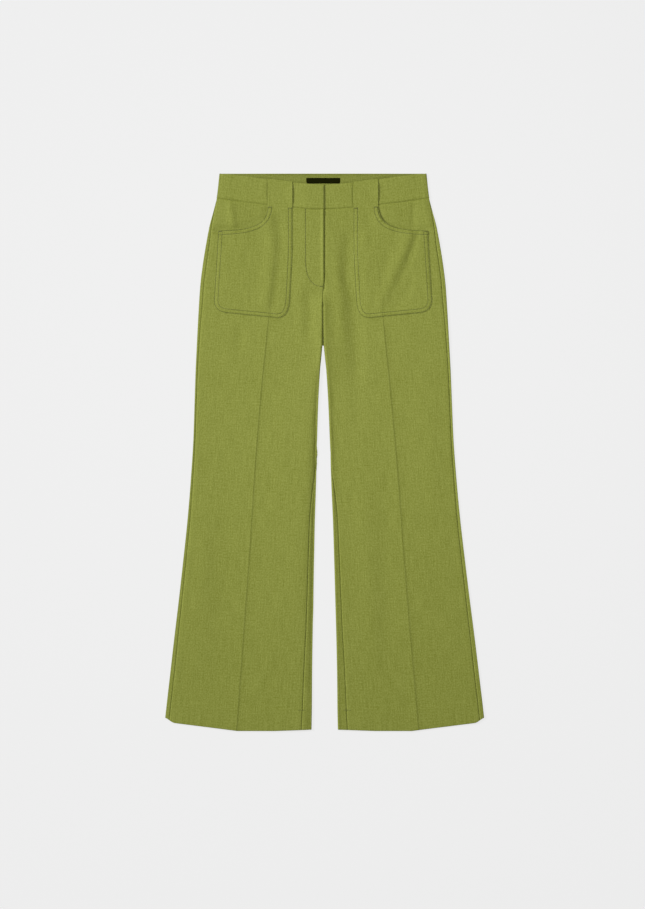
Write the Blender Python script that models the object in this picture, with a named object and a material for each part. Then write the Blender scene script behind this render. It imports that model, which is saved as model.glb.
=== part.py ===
"""Flared gabardine trousers, laid flat with the front up, built as a maker cuts them.

Two fronts, two backs, four waistband pieces, two patch pockets whose upper ends run on
over the waistband as wide belt loops, the fly's underlap and zip tape, and a plain woven
label. Each piece of cloth is a wall, and the panels lie on each other. The cloth of the
backs turns over both edges of each leg and meets the front at a seam on the top side.

Sizes are in millimetres, and a mesh takes them in metres. For one half of the garment,
"across" is the distance out from the centre line, "down" the distance below the top of
the back waistband, and "height" the distance above the surface that it lies on.
RIGHT and LEFT are the wearer's, so RIGHT is at -X. The waist is at +Y.
"""

import math
from collections import namedtuple

import bmesh
import bpy
from mathutils import Vector

MM = 0.001
RIGHT, LEFT = -1, 1
SIDE_NAMES = {RIGHT: "right", LEFT: "left"}

# ---- driving sizes ----------------------------------------------------------------
LENGTH = 1050.0  # top of the back waistband to the lowest point of the hem
CLOTH = 1.0  # wall of one layer of gabardine
BAND = 2.0  # wall of the waistband: two layers and their interfacing
GAP = 0.3  # between the edges of two neighbouring pieces
SEAM = GAP / 2  # each piece's share of that gap
BAND_SEAM = 0.45  # the same at the thick waistband's side seam, where it turns over
CENTRE_SEAM = 0.25  # and where the two fronts meet below the fly
CUT_STEP = 0.25  # first step of a row from a seam
SIDE_ROLL = 3.0  # outer radius of the cloth where it turns over at the side
LEAN = -3.2  # the centre line at the waist, in X; it comes back to 0 at the hem

BAND_DEPTH = 46.0  # waistband, top edge to seam, at the side
FRONT_DIP = 20.0  # how far the front's top edge dips at the centre
SEAM_DIP = 21.4  # how far the waistband seam dips at the centre
DIP_CURVE, DIP_EASE = 1.6, 1.5
SEAM_DIP_CURVE = 1.4
DIP_FADES = 204.0  # the dip of the rows fades out this far below the seam

HEM_FOLD = 40.0  # depth of the turned-up hem
HEM_RISE = 17.5  # how much higher the hem is at the side
HEM_CORNER = 8.0  # and the last rise, at its corner
HEM_INNER = 2.5  # and at the inner edge
HEM_CURVE_FROM = 750.0  # the rows take up the hem's curve from here down

VALLEY_FLOOR = CLOTH + GAP  # the fronts' edges stop here, just above the backs
VALLEY_LEVELS = (245, 275)  # over these levels the fronts' edges sink to that floor

FLY_END = 212.0  # bar tack at the foot of the fly
FLY_WIDTH = 33.0  # fly edge to the curved stitching
FLY_LAP = 1.5  # how far the right front passes the centre line
FLY_RAISE = 1.8  # the right front lies this much higher, over zip and underlap
FLY_SLOPE = (1.0, 22.0)  # and comes down over this stretch past the curved stitching
FLY_FOOT = 26.0  # and over this length below the fly's end
LAP_FADE = (14.0, 1.0)  # the lap runs out over this length above the fly's end
BAND_SLOPE = (2.0, 24.0)  # the waistband's raised end comes down past the fly
BAND_CLEAR = 0.05  # more room between the waistband's two ends at the centre front

CREASE_HEIGHT = 1.3
CREASE_WIDTH = 7.0
CREASE_FROM, CREASE_FULL = 190.0, 290.0
EDGE_FADE = 16.0  # how fast the height settles inwards from a turned edge
EDGE_CLEAR = 20.0  # creases and folds die away over this width beside an edge

# The pressed creases: how far out each lies, on the right and on the left leg.
Crease = namedtuple("Crease", "down right left")
CREASES = (
    Crease(46, 80.0, 91.0),
    Crease(277, 102.7, 113.8),
    Crease(427, 118.0, 128.4),
    Crease(578, 130.4, 140.9),
    Crease(729, 141.0, 151.3),
    Crease(879, 152.8, 163.0),
    Crease(1050, 165.5, 177.6),
)

# Outline of one half, and how it lies. inner is the edge between the legs; above the
# crotch it passes the centre line, so that the two fronts meet flat. inner_roll is the
# outer radius of the cloth where it turns over there, and middle the height of the
# front between the edges.
Section = namedtuple("Section", "down outer inner inner_roll middle")
SECTIONS = (
    Section(0, 195.0, -4.5, 4.5, 5.2),
    Section(46, 200.3, -4.5, 4.5, 4.5),
    Section(106, 215.0, -4.5, 4.5, 4.3),
    Section(200, 229.8, -4.5, 4.5, 4.3),
    Section(225, 232.0, -4.5, 4.5, 4.4),
    Section(257, 234.0, 0.2, 4.5, 4.6),
    Section(290, 235.9, 0.7, 4.5, 4.8),
    Section(325, 237.7, 1.6, 4.5, 4.8),
    Section(373, 240.1, 6.0, 4.2, 4.5),
    Section(425, 242.0, 9.3, 3.8, 4.2),
    Section(500, 244.8, 12.1, 3.4, 4.0),
    Section(577, 250.1, 14.3, 3.0, 3.9),
    Section(652, 256.7, 17.0, 3.0, 3.8),
    Section(728, 265.1, 18.9, 3.0, 3.8),
    Section(803, 273.9, 20.6, 3.0, 3.8),
    Section(880, 283.4, 22.4, 3.0, 3.9),
    Section(954, 292.1, 23.6, 3.0, 4.1),
    Section(1003, 297.9, 23.9, 3.0, 4.6),
    Section(1050, 303.0, 24.8, 3.0, 4.9),
)

# How far the cloth of the back comes round over each edge before its seam, along the
# cloth from the edge's outermost line. Below zero the seam is still underneath.
Turn = namedtuple("Turn", "down side inner")
TURNS = (
    Turn(46, 0.0, -11.5),
    Turn(62, 1.4, -11.5),
    Turn(85, 4.2, -11.5),
    Turn(112, 6.6, -11.5),
    Turn(144, 8.4, -11.5),
    Turn(230, 8.6, -11.5),
    Turn(290, 6.8, -11.5),
    Turn(340, 6.0, -11.5),
    Turn(430, 5.2, -8.0),
    Turn(500, 5.2, -2.6),
    Turn(560, 5.6, 3.4),
    Turn(600, 6.0, 8.0),
    Turn(650, 6.6, 10.8),
    Turn(730, 7.2, 12.2),
    Turn(850, 8.4, 13.8),
    Turn(940, 9.2, 16.8),
    Turn(1050, 9.4, 20.5),
)

# Soft folds of the fronts: ridges, and troughs where height is below zero.
Fold = namedtuple("Fold", "side across_a down_a across_b down_b width height")
FOLDS = (
    Fold(LEFT, 44, 130, 60, 350, 13, -1.5),  # trough beside the left pocket
    Fold(LEFT, 27, 150, 38, 330, 11, 0.9),
    Fold(LEFT, 60, 360, 66, 480, 14, -0.6),
    Fold(RIGHT, 25, 225, 27, 310, 10, -0.9),
    Fold(RIGHT, 42, 190, 40, 330, 11, 0.8),
    Fold(RIGHT, 156, 285, 158, 340, 11, -0.6),
    Fold(RIGHT, 182, 60, 178, 98, 12, 1.0),
    Fold(LEFT, 176, 58, 170, 96, 12, -0.8),
    Fold(LEFT, 197, 60, 200, 96, 12, 0.5),
    Fold(LEFT, 78, 560, 92, 930, 20, 0.9),
    Fold(LEFT, 112, 600, 122, 900, 20, -0.6),
    Fold(RIGHT, 222, 640, 240, 930, 20, 0.8),
    Fold(RIGHT, 186, 620, 200, 900, 22, -0.5),
    Fold(RIGHT, 74, 420, 84, 700, 20, 0.5),
    Fold(LEFT, 190, 380, 204, 640, 22, 0.6),
)
# Ridges that the pockets alone have; the front under them stays plain.
POCKET_FOLDS = (
    Fold(RIGHT, 98, 84, 96, 240, 13, 1.2),
    Fold(RIGHT, 168, 130, 176, 240, 18, 0.5),
    Fold(LEFT, 168, 116, 116, 240, 12, 1.5),
    Fold(LEFT, 84, 110, 82, 235, 16, 0.6),
)

# ---- levels and columns of the panels ----------------------------------------------
HIP_LEVELS = (
    46 + SEAM, 54, 62, 70, 79, 89, 101, 120, 145, 172, 200, 212, 225, 241, 257, 275,
    292, 310, 325, 327, 331, 338, 350,
)
LEG_LEVELS = (380, 425, 460, 485, 508, 530, 552, 575, 600, 640, 700, 770, 850, 930)
# The turned-up hem is pressed flat, so it is one wall of two layers with a round foot.
HemRow = namedtuple("HemRow", "level inset wall")
HEM_ROWS = (
    HemRow(LENGTH - HEM_FOLD - 0.5, 0.0, CLOTH),
    HemRow(LENGTH - HEM_FOLD + 0.5, 0.0, 2 * CLOTH),
    HemRow(LENGTH - HEM_FOLD / 2, 0.0, 2 * CLOTH),
    HemRow(LENGTH - 0.8, 0.0, 2 * CLOTH),
    HemRow(LENGTH, 0.7, 2 * CLOTH - 1.4),
)
FORK_LEVEL = 327  # the backs' crotch edge ends here, and the fronts turn under from here
FRONT_STEPS = {"side": 4, "outer": 6, "inner": 8, "inner_edge": 6}
BACK_STEPS = {"side": 6, "middle": 3, "inner_edge": 6}
BAND_STEPS = {"side": 4, "middle": 12}
BACK_BAND_STEPS = {"side": 4, "middle": 5}
BAND_ROWS = 4
BAND_TOP = 0.5  # the front waistband starts this far below the back one
PAST_SIDE = 6.0  # a front's first columns reach this far past the roll at the side
PAST_INNER = 8.0  # and this far past the roll at the inner edge
FLAT_INSET = 1.5  # a back is flat from this far inside its turned edges
TURN_LEAST = 1.0  # a back reaches at least this far under an edge
CENTRE_COLUMNS = 16.0  # above the crotch its last columns start here, across

# ---- pocket and loop ------------------------------------------------------------------
LOOP_INNER, LOOP_OUTER = 57.5, 104.0  # the loop's two edges, across
LOOP_LIFT = 0.9  # room for the belt's edge, over the waistband
POCKET_LIFT = 0.6
MOUTH_LIFT = 0.9  # the pocket's mouth stands this much further off the front
MOUTH_WIDTH = 24.0
MOUTH_LIFT_LEVELS = (66, 84)  # that lift begins below the waistband seam
MOUTH_ENDS = 112.0  # the rows that end at the mouth reach down to here
LOOP_CLEAR = 0.2  # more room under the loop
LOOP_RAMP = (-9.0, 1.0)  # the cloth climbs on the waistband, measured from its seam
LOOP_SLOPE = (-2.0, 12.0)  # and the loop lifts off, measured from the band's top edge
POCKET_INNER = ((57.5, 150.0), (62.3, 240.0))  # lower run of the inner edge
POCKET_INNER_CORNER = ((62.3, 240.0), (65.0, 273.6), (88.0, 272.2))
MOUTH_CURVE = ((104.0, 63.5), (106.0, 96.0), (130.0, 106.0), (197.2, 107.5))
POCKET_OUTER = ((197.2, 107.5), (205.4, 236.0))
POCKET_OUTER_CORNER = ((205.4, 236.0), (206.6, 259.8), (182.0, 262.8))
POCKET_STEPS = {"to_crease": 5, "to_edge": 8}
LOOP_ROWS, MOUTH_ROWS, SIDE_ROWS, CORNER_ROWS = 4, 8, 7, 5

# ---- small pieces ---------------------------------------------------------------------
UNDERLAP_ACROSS = (-8.0, 33.0)  # on the right half, so it passes the centre by 8
UNDERLAP_DOWN = (69.5, 206.0)
UNDERLAP_FOOT = 12.0  # width that is left at its rounded foot
UNDERLAP_ROUND_FROM = 0.75  # share of its length
UNDERLAP_STEPS = (8, 3)
ZIP_ACROSS = (3.0, 27.0)
ZIP_DOWN = (71.0, 203.0)
ZIP_TAPE = 0.7
LABEL_SIZE = (64.0, 10.4)
LABEL_TOP = 8.3  # below the top of the back waistband
LABEL_THICK = 0.5

GABARDINE = (0.263, 0.292, 0.058, 1.0)
WOVEN_BLACK = (0.006, 0.006, 0.005, 1.0)


# ---- small mathematics ----------------------------------------------------------------
def smooth(value, start, end):
    """0 before start, 1 after end, and a soft S between them."""
    t = min(1.0, max(0.0, (value - start) / (end - start)))
    return t * t * (3 - 2 * t)


def mix(a, b, share):
    return a + (b - a) * share


def at(table, column, down):
    """A table's column at any level, on a smooth curve that never overshoots its rows."""
    x = [row.down for row in table]
    y = [getattr(row, column) for row in table]
    down = min(max(down, x[0]), x[-1])
    i = max(k for k in range(len(x) - 1) if x[k] <= down)
    rise = [(y[k + 1] - y[k]) / (x[k + 1] - x[k]) for k in range(len(x) - 1)]

    def slope(k):
        if k in (0, len(x) - 1):
            return rise[min(k, len(rise) - 1)]
        before, after = rise[k - 1], rise[k]
        return 0.0 if before * after <= 0 else 2 * before * after / (before + after)

    span = x[i + 1] - x[i]
    t = (down - x[i]) / span
    return (
        y[i] * (1 + 2 * t) * (1 - t) ** 2
        + slope(i) * span * t * (1 - t) ** 2
        + y[i + 1] * t * t * (3 - 2 * t)
        + slope(i + 1) * span * t * t * (t - 1)
    )


def bezier(points, t):
    """A point of the curve with these two, three or four control points."""
    while len(points) > 1:
        points = [tuple(mix(a, b, t) for a, b in zip(p, q)) for p, q in zip(points, points[1:])]
    return points[0]


# ---- the form that the cloth takes --------------------------------------------------
def place(side, across, down, height):
    """A point of one half, in metres in the garment's frame."""
    centre = LEAN * (1 - smooth(down, 200, LENGTH))
    return Vector((centre + side * across, LENGTH / 2 - down, height)) * MM


def share_across(across, down):
    """0 at the centre or the inner edge, and 1 at the outer edge."""
    inner = max(at(SECTIONS, "inner", down), 0.0)
    outer = at(SECTIONS, "outer", down)
    return min(1.0, max(0.0, (across - inner) / (outer - inner)))


def front_level(level, share):
    """How far down a front's row really lies: the top rows dip, the hem rows rise."""
    top = FRONT_DIP * (1 - share**DIP_CURVE) ** DIP_EASE
    seam = SEAM_DIP * (1 - share**SEAM_DIP_CURVE)
    if level < BAND_DEPTH:
        return level + mix(top, seam, level / BAND_DEPTH)
    dip = seam * (1 - smooth(level, BAND_DEPTH, BAND_DEPTH + DIP_FADES))
    return level + dip - hem_lift(level, share)


def back_level(level, share):
    return level - hem_lift(level, share)


def hem_lift(level, share):
    slope = HEM_RISE * max(0.0, share - 0.5) / 0.5
    corner = HEM_CORNER * smooth(share, 0.925, 1.0)
    inner = HEM_INNER * max(0.0, 0.25 - share) / 0.25
    return (slope + corner + inner) * smooth(level, HEM_CURVE_FROM, LENGTH)


def crease_across(side, down):
    return at(CREASES, SIDE_NAMES[side], down)


def fold_height(fold, across, down):
    """A soft ridge or trough along a line, dying away at both of its ends."""
    run = Vector((fold.across_b - fold.across_a, fold.down_b - fold.down_a))
    away = Vector((across - fold.across_a, down - fold.down_a))
    t = away.dot(run) / run.length_squared
    beside = abs(away.x * run.y - away.y * run.x) / run.length
    ends = smooth(t, -0.15, 0.25) * (1 - smooth(t, 0.75, 1.15))
    return fold.height * math.exp(-((beside / fold.width) ** 2)) * ends


def front_height(side, across, down):
    """Height of the front's face between its turned edges."""
    middle = at(SECTIONS, "middle", down)
    roll = at(SECTIONS, "inner_roll", down)
    from_side = at(SECTIONS, "outer", down) - across - SIDE_ROLL
    from_inner = across - at(SECTIONS, "inner", down) - roll
    turned = smooth(down, 200, 225)  # 0 where the two fronts still meet flat
    side_rise = (2 * SIDE_ROLL - middle) * math.exp(-max(from_side, 0) / EDGE_FADE)
    inner_rise = (2 * roll - middle) * math.exp(-max(from_inner, 0) / EDGE_FADE) * turned
    clear = mix(1.0, smooth(from_inner, 0, EDGE_CLEAR), turned)
    clear *= smooth(from_side, 0, EDGE_CLEAR)

    beside = abs(across - crease_across(side, down))
    crease = CREASE_HEIGHT * math.exp(-beside / CREASE_WIDTH)
    crease *= smooth(down, CREASE_FROM, CREASE_FULL)
    folds = sum(fold_height(f, across, down) for f in FOLDS if f.side == side)
    fly = 0.0
    if side == RIGHT:
        fly = FLY_RAISE * (1 - smooth(across - FLY_WIDTH, *FLY_SLOPE))
        fly *= 1 - smooth(down, FLY_END, FLY_END + FLY_FOOT)
    return middle + side_rise + inner_rise + fly + (crease + folds) * clear


def ring_point(side, down, edge, turn):
    """(across, height) on the leg's outer face, a distance along the cloth from an edge.

    turn counts from the edge's outermost line: up and over for turn above zero, and
    under for turn below it.
    """
    roll = SIDE_ROLL if edge == "outer" else at(SECTIONS, "inner_roll", down)
    inwards = -1 if edge == "outer" else 1
    line = at(SECTIONS, edge, down)
    quarter = math.pi * roll / 2
    if abs(turn) <= quarter:
        across = line + inwards * roll * (1 - math.cos(turn / roll))
        return across, roll + roll * math.sin(turn / roll)
    across = line + inwards * (roll + abs(turn) - quarter)
    if turn < 0:
        return across, 0.0
    return across, front_height(side, across, down)


def turn_at(across, down):
    """The turn round the inner edge that reaches this distance from the centre line."""
    roll = at(SECTIONS, "inner_roll", down)
    inset = across - at(SECTIONS, "inner", down)
    if inset >= roll:
        return math.pi * roll / 2 + inset - roll
    return roll * math.acos(1 - inset / roll)


def front_end(side, level, down):
    """Where a front's inner edge ends, as a turn round the leg's inner edge."""
    lap_from, lap_to = (FLY_END - fade for fade in LAP_FADE)
    lap = FLY_LAP * (1 - smooth(level, lap_from, lap_to)) if side == RIGHT else 0.0
    roll = at(SECTIONS, "inner_roll", down)
    if at(SECTIONS, "inner", down) < CENTRE_SEAM:
        return turn_at(CENTRE_SEAM - lap * (1 + CENTRE_SEAM / FLY_LAP), down)
    if level <= FORK_LEVEL:
        sinks = smooth(level, *VALLEY_LEVELS)
        return roll * math.asin((mix(roll, VALLEY_FLOOR, sinks) - roll) / roll)
    return at(TURNS, "inner", level) + SEAM


# ---- the pieces as grids of points ---------------------------------------------------
def spread(a, b, steps):
    """Values from a to b, without b."""
    return [mix(a, b, k / steps) for k in range(steps)]


def from_seam(a, b, steps):
    """The same from a seam at a: a short first step keeps the cut edge square."""
    near = a + math.copysign(CUT_STEP, b - a)
    return [a] + spread(near, b, steps - 1)


def over_edge(side, edge, turns, level, level_at):
    """Points where a row turns round an edge: (across, height, down) at each turn."""
    edge_down = level_at(level, 1.0 if edge == "outer" else 0.0)
    points = []
    for turn in turns:
        across, height = ring_point(side, edge_down, edge, turn)
        points.append((across, height, level_at(level, share_across(across, level))))
    return points


def front_row(side, level):
    """Points of a front across one level, from the side seam to the inner edge."""
    inner_down = front_level(level, 0.0)
    steps = FRONT_STEPS
    side_turn = at(TURNS, "side", level) + SEAM
    inner_turn = front_end(side, level, inner_down)
    over_side = max(side_turn, math.pi * SIDE_ROLL / 2) + PAST_SIDE
    inner_quarter = math.pi * at(SECTIONS, "inner_roll", inner_down) / 2
    over_inner = max(inner_turn, inner_quarter) + PAST_INNER
    turns = from_seam(side_turn, over_side, steps["side"])
    points = over_edge(side, "outer", turns, level, front_level)
    turns = [inner_turn] + from_seam(inner_turn, over_inner, steps["inner_edge"])[1:]
    turns = (turns + [over_inner])[::-1]
    inner_points = over_edge(side, "inner", turns, level, front_level)
    first = ring_point(side, front_level(level, 1.0), "outer", over_side)[0]
    crease, last = crease_across(side, level), inner_points[0][0]
    columns = spread(first, crease, steps["outer"]) + spread(crease, last, steps["inner"])
    for across in columns:
        down = front_level(level, share_across(across, level))
        points.append((across, front_height(side, across, down), down))
    points += inner_points
    return [place(side, across, down, height) for across, height, down in points]


def back_row(side, level):
    """Points of a back: over the side edge, flat underneath, and over the inner edge."""
    steps = BACK_STEPS
    side_turn = at(TURNS, "side", level) - SEAM
    under_side = min(-math.pi * SIDE_ROLL / 2, side_turn - TURN_LEAST)
    turns = from_seam(side_turn, under_side, steps["side"])
    points = over_edge(side, "outer", turns, level, back_level)
    first = at(SECTIONS, "outer", back_level(level, 1.0)) - SIDE_ROLL - FLAT_INSET
    if level < FORK_LEVEL:
        last = CENTRE_COLUMNS
        flat = spread(last, SEAM, steps["inner_edge"]) + [SEAM]
        ends = [(a, 0.0, back_level(level, 0.0)) for a in flat]
    else:
        seam = at(TURNS, "inner", level) - SEAM
        roll = at(SECTIONS, "inner_roll", level)
        under = min(-math.pi * roll / 2, seam - TURN_LEAST)
        turns = (from_seam(seam, under, steps["inner_edge"]) + [under])[::-1]
        ends = over_edge(side, "inner", turns, level, back_level)
        last = ends[0][0] + FLAT_INSET
    for across in spread(first, last, steps["middle"]):
        points.append((across, 0.0, back_level(level, share_across(across, level))))
    points += ends
    return [place(side, across, down, height) for across, height, down in points]


def leg_rows(row_at, side):
    """All rows of a leg panel, from the waistband seam to the hem, with their walls."""
    levels = HIP_LEVELS + LEG_LEVELS + tuple(row.level for row in HEM_ROWS)
    walls = [(0.0, CLOTH)] * (len(levels) - len(HEM_ROWS))
    walls += [(row.inset, row.wall) for row in HEM_ROWS]
    return [row_at(side, level) for level in levels], walls


def band_height(side, across, down):
    """Height of the front waistband's face; the right end lies on the left one."""
    middle = at(SECTIONS, "middle", down)
    from_side = at(SECTIONS, "outer", down) - across - SIDE_ROLL
    height = middle + (2 * SIDE_ROLL - middle) * math.exp(-max(from_side, 0) / EDGE_FADE)
    if side == RIGHT:
        raised = 3 * BAND + 3 * GAP
        return mix(raised, height, smooth(across - FLY_WIDTH, *BAND_SLOPE))
    lowered = 2 * BAND + GAP + BAND_CLEAR
    return mix(lowered, height, smooth(across - FLY_LAP, *FLY_SLOPE))


def front_band_rows(side):
    """The front waistband, from the side to the centre front or under the other end."""
    end = -FLY_LAP if side == RIGHT else -FLY_WIDTH
    rows = []
    for k in range(BAND_ROWS + 1):
        level = mix(BAND_TOP, BAND_DEPTH - SEAM, k / BAND_ROWS)
        seam = at(TURNS, "side", 0) + BAND_SEAM
        turns = from_seam(seam, math.pi * SIDE_ROLL / 2, BAND_STEPS["side"])
        points = over_edge(side, "outer", turns, level, front_level)
        first = at(SECTIONS, "outer", front_level(level, 1.0)) - SIDE_ROLL
        for across in spread(first, end, BAND_STEPS["middle"]) + [end]:
            down = front_level(level, share_across(across, level))
            points.append((across, band_height(side, across, down), down))
        rows.append([place(side, across, down, height) for across, height, down in points])
    return rows


def back_band_rows(side):
    rows = []
    for k in range(BAND_ROWS + 1):
        level = mix(0.0, BAND_DEPTH - SEAM, k / BAND_ROWS)
        seam = at(TURNS, "side", 0) - BAND_SEAM
        turns = from_seam(seam, -math.pi * SIDE_ROLL / 2, BACK_BAND_STEPS["side"])
        points = [ring_point(side, level, "outer", t) for t in turns]
        first = at(SECTIONS, "outer", level) - SIDE_ROLL
        points += [(a, 0.0) for a in spread(first, SEAM, BACK_BAND_STEPS["middle"]) + [SEAM]]
        rows.append([place(side, across, level, height) for across, height in points])
    return rows


def seam_down(across):
    """The waistband seam of the front, at this distance from the centre line."""
    return front_level(BAND_DEPTH, min(1.0, max(across, 0) / at(SECTIONS, "outer", BAND_DEPTH)))


def pocket_height(side, across, down):
    """Height of the pocket's outer face: over the front, up on the waistband, over it."""
    lift = POCKET_LIFT
    into_mouth = min(
        math.dist((across, down), bezier(MOUTH_CURVE, k / 16)) for k in range(17)
    )
    mouth_lift = MOUTH_LIFT * smooth(down, *MOUTH_LIFT_LEVELS)
    lift += mouth_lift * (1 - smooth(into_mouth, 0, MOUTH_WIDTH))
    lift += sum(fold_height(f, across, down) for f in POCKET_FOLDS if f.side == side)
    on_front = front_height(side, across, down) + lift
    above_seam = seam_down(across) - down
    below_top = down - (seam_down(across) - BAND_DEPTH)
    loop = GAP + LOOP_CLEAR + LOOP_LIFT * smooth(below_top, *LOOP_SLOPE)
    on_band = band_height(side, across, min(down, BAND_DEPTH)) + loop
    return mix(on_front, on_band, smooth(above_seam, *LOOP_RAMP)) + CLOTH


def pocket_edges(side):
    """(inner end, outer end) of each row of the pocket, from the loop's top to its foot."""
    outer_at_band = at(SECTIONS, "outer", BAND_DEPTH)
    seam_in, seam_out = seam_down(LOOP_INNER), seam_down(LOOP_OUTER)
    ends = []
    for k in range(LOOP_ROWS + 1):
        level = mix(BAND_TOP, BAND_DEPTH, k / LOOP_ROWS)
        ends.append([
            (a, front_level(level, a / outer_at_band)) for a in (LOOP_INNER, LOOP_OUTER)
        ])
    for k in range(1, MOUTH_ROWS + 1):
        t = k / MOUTH_ROWS
        inner = (LOOP_INNER, mix(seam_in, MOUTH_ENDS, t))
        ends.append([inner, bezier(((LOOP_OUTER, seam_out),) + MOUTH_CURVE[1:], t)])
    for k in range(1, SIDE_ROWS + 1):
        t = k / SIDE_ROWS
        down = mix(MOUTH_ENDS, POCKET_INNER[1][1], t)
        lean = max(0.0, (down - POCKET_INNER[0][1]) / (POCKET_INNER[1][1] - POCKET_INNER[0][1]))
        inner = (mix(POCKET_INNER[0][0], POCKET_INNER[1][0], lean), down)
        ends.append([inner, bezier(POCKET_OUTER, t)])
    for k in range(1, CORNER_ROWS + 1):
        t = k / CORNER_ROWS
        ends.append([bezier(POCKET_INNER_CORNER, t), bezier(POCKET_OUTER_CORNER, t)])
    return ends


def pocket_rows(side):
    rows = []
    for inner, outer in pocket_edges(side):
        down = mix(inner[1], outer[1], 0.4)
        crease = min(max(crease_across(side, down), inner[0] + 8), outer[0] - 8)
        columns = spread(outer[0], crease, POCKET_STEPS["to_edge"])
        columns += spread(crease, inner[0], POCKET_STEPS["to_crease"]) + [inner[0]]
        row = []
        for across in columns:
            share = (across - inner[0]) / (outer[0] - inner[0])
            down = mix(inner[1], outer[1], share)
            row.append(place(side, across, down, pocket_height(side, across, down)))
        rows.append(row)
    return rows


def underlap_rows():
    """A flat strip with a rounded foot, between the backs and the fly."""
    inner, outer = UNDERLAP_ACROSS
    steps_down, steps_across = UNDERLAP_STEPS
    rows = []
    for k in range(steps_down + 1):
        t = k / steps_down
        level = mix(UNDERLAP_DOWN[0], UNDERLAP_DOWN[1], t)
        rounded = max(0.0, (t - UNDERLAP_ROUND_FROM) / (1 - UNDERLAP_ROUND_FROM))
        edge = mix(outer, inner + UNDERLAP_FOOT, rounded**2)
        columns = spread(edge, inner, steps_across) + [inner]
        rows.append([place(RIGHT, a, level, 2 * CLOTH + GAP) for a in columns])
    return rows


# ---- objects --------------------------------------------------------------------------
def clear_scene():
    for obj in list(bpy.data.objects):
        bpy.data.objects.remove(obj)


def make_material(name, colour, roughness):
    material = bpy.data.materials.new(name)
    material.use_nodes = True
    shader = material.node_tree.nodes["Principled BSDF"]
    shader.inputs["Base Color"].default_value = colour
    shader.inputs["Roughness"].default_value = roughness
    shader.inputs["Metallic"].default_value = 0.0
    material.diffuse_color = colour
    return material


def finish_object(obj, name, colour, roughness, group, root):
    obj.name = obj.data.name = name
    obj.data.materials.clear()
    obj.data.materials.append(make_material(name + "_cloth", colour, roughness))
    for collection in list(obj.users_collection):
        collection.objects.unlink(obj)
    group.objects.link(obj)
    obj.parent = root
    return obj


def tangents(line):
    """Directions of a line at its points, where the nearer neighbour counts for more."""
    steps = [b - a for a, b in zip(line, line[1:])]
    inner = [a * (b.length / a.length) + b * (a.length / b.length) for a, b in zip(steps, steps[1:])]
    return [steps[0]] + inner + [steps[-1]]


def grid_normals(rows, facing_up):
    """Unit normals at a grid's points, all of them on the cloth's outer side."""
    across = [tangents(row) for row in rows]
    down = list(zip(*(tangents(column) for column in zip(*rows))))
    normals = [[a.cross(d).normalized() for a, d in zip(*both)] for both in zip(across, down)]
    if (normals[0][len(rows[0]) // 2].z > 0) != facing_up:
        normals = [[-n for n in row] for row in normals]
    return normals


def sheet(name, rows, walls, facing_up, group, root):
    """A piece of cloth: rows of points on its outer face, and a wall on the inner side.

    walls is one thickness, or for each row how far its face lies inside the outer
    form and how thick it is there.
    """
    if isinstance(walls, float):
        walls = [(0.0, walls)] * len(rows)
    normals = grid_normals(rows, facing_up)
    count, width = len(rows), len(rows[0])
    points = []
    for deep in (0, 1):
        for row, ns, (inset, wall) in zip(rows, normals, walls):
            points += [p - n * (inset + deep * wall) * MM for p, n in zip(row, ns)]
    under = count * width
    faces = []
    for i in range(count - 1):
        for j in range(width - 1):
            a, b = i * width + j, (i + 1) * width + j
            faces += [(a, b, b + 1, a + 1), (under + a, under + a + 1, under + b + 1, under + b)]
    sides = [[i * width for i in range(count)], [(count - 1) * width + j for j in range(width)]]
    sides += [[i * width + width - 1 for i in reversed(range(count))], list(reversed(range(width)))]
    for border in sides:
        for a, b in zip(border, border[1:]):
            faces += [(b, a, under + a), (b, under + a, under + b)]
    mesh = bpy.data.meshes.new(name)
    mesh.from_pydata(points, [], faces)
    if (mesh.polygons[2 * (width // 2)].normal.z > 0) != facing_up:
        mesh.flip_normals()
    obj = bpy.data.objects.new(name, mesh)
    group.objects.link(obj)
    return finish_object(obj, name, GABARDINE, 0.85, group, root)


def flat_strip(name, size, centre, colour, group, root):
    """A thin flat piece: a cube primitive cut to size, with its corners softened."""
    bpy.ops.mesh.primitive_cube_add(size=1.0, location=centre)
    obj = bpy.context.object
    obj.data.transform(
        ((size[0] * MM, 0, 0, 0), (0, size[1] * MM, 0, 0), (0, 0, size[2] * MM, 0), (0, 0, 0, 1))
    )
    mesh = bmesh.new()
    mesh.from_mesh(obj.data)
    upright = [
        edge for edge in mesh.edges
        if abs(edge.verts[0].co.z - edge.verts[1].co.z) > size[2] * MM / 2
    ]
    bmesh.ops.bevel(mesh, geom=upright, offset=1.0 * MM, segments=2, affect="EDGES")
    mesh.to_mesh(obj.data)
    mesh.free()
    return finish_object(obj, name, colour, 0.7, group, root)


def build_leg(side, group, root):
    name = SIDE_NAMES[side]
    sheet("front_" + name, *leg_rows(front_row, side), True, group, root)
    sheet("back_" + name, *leg_rows(back_row, side), False, group, root)


def build_waistband(side, group, root):
    name = SIDE_NAMES[side]
    sheet("waistband_front_" + name, front_band_rows(side), BAND, True, group, root)
    sheet("waistband_back_" + name, back_band_rows(side), BAND, False, group, root)


def build_fly(group, root):
    sheet("fly_underlap", underlap_rows(), CLOTH, True, group, root)
    down = (ZIP_DOWN[0] + ZIP_DOWN[1]) / 2
    across = (ZIP_ACROSS[0] + ZIP_ACROSS[1]) / 2
    height = 2 * CLOTH + 2 * GAP + ZIP_TAPE / 2
    size = (ZIP_ACROSS[1] - ZIP_ACROSS[0], ZIP_DOWN[1] - ZIP_DOWN[0], ZIP_TAPE)
    flat_strip("fly_zip", size, place(RIGHT, across, down, height), GABARDINE, group, root)


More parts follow.
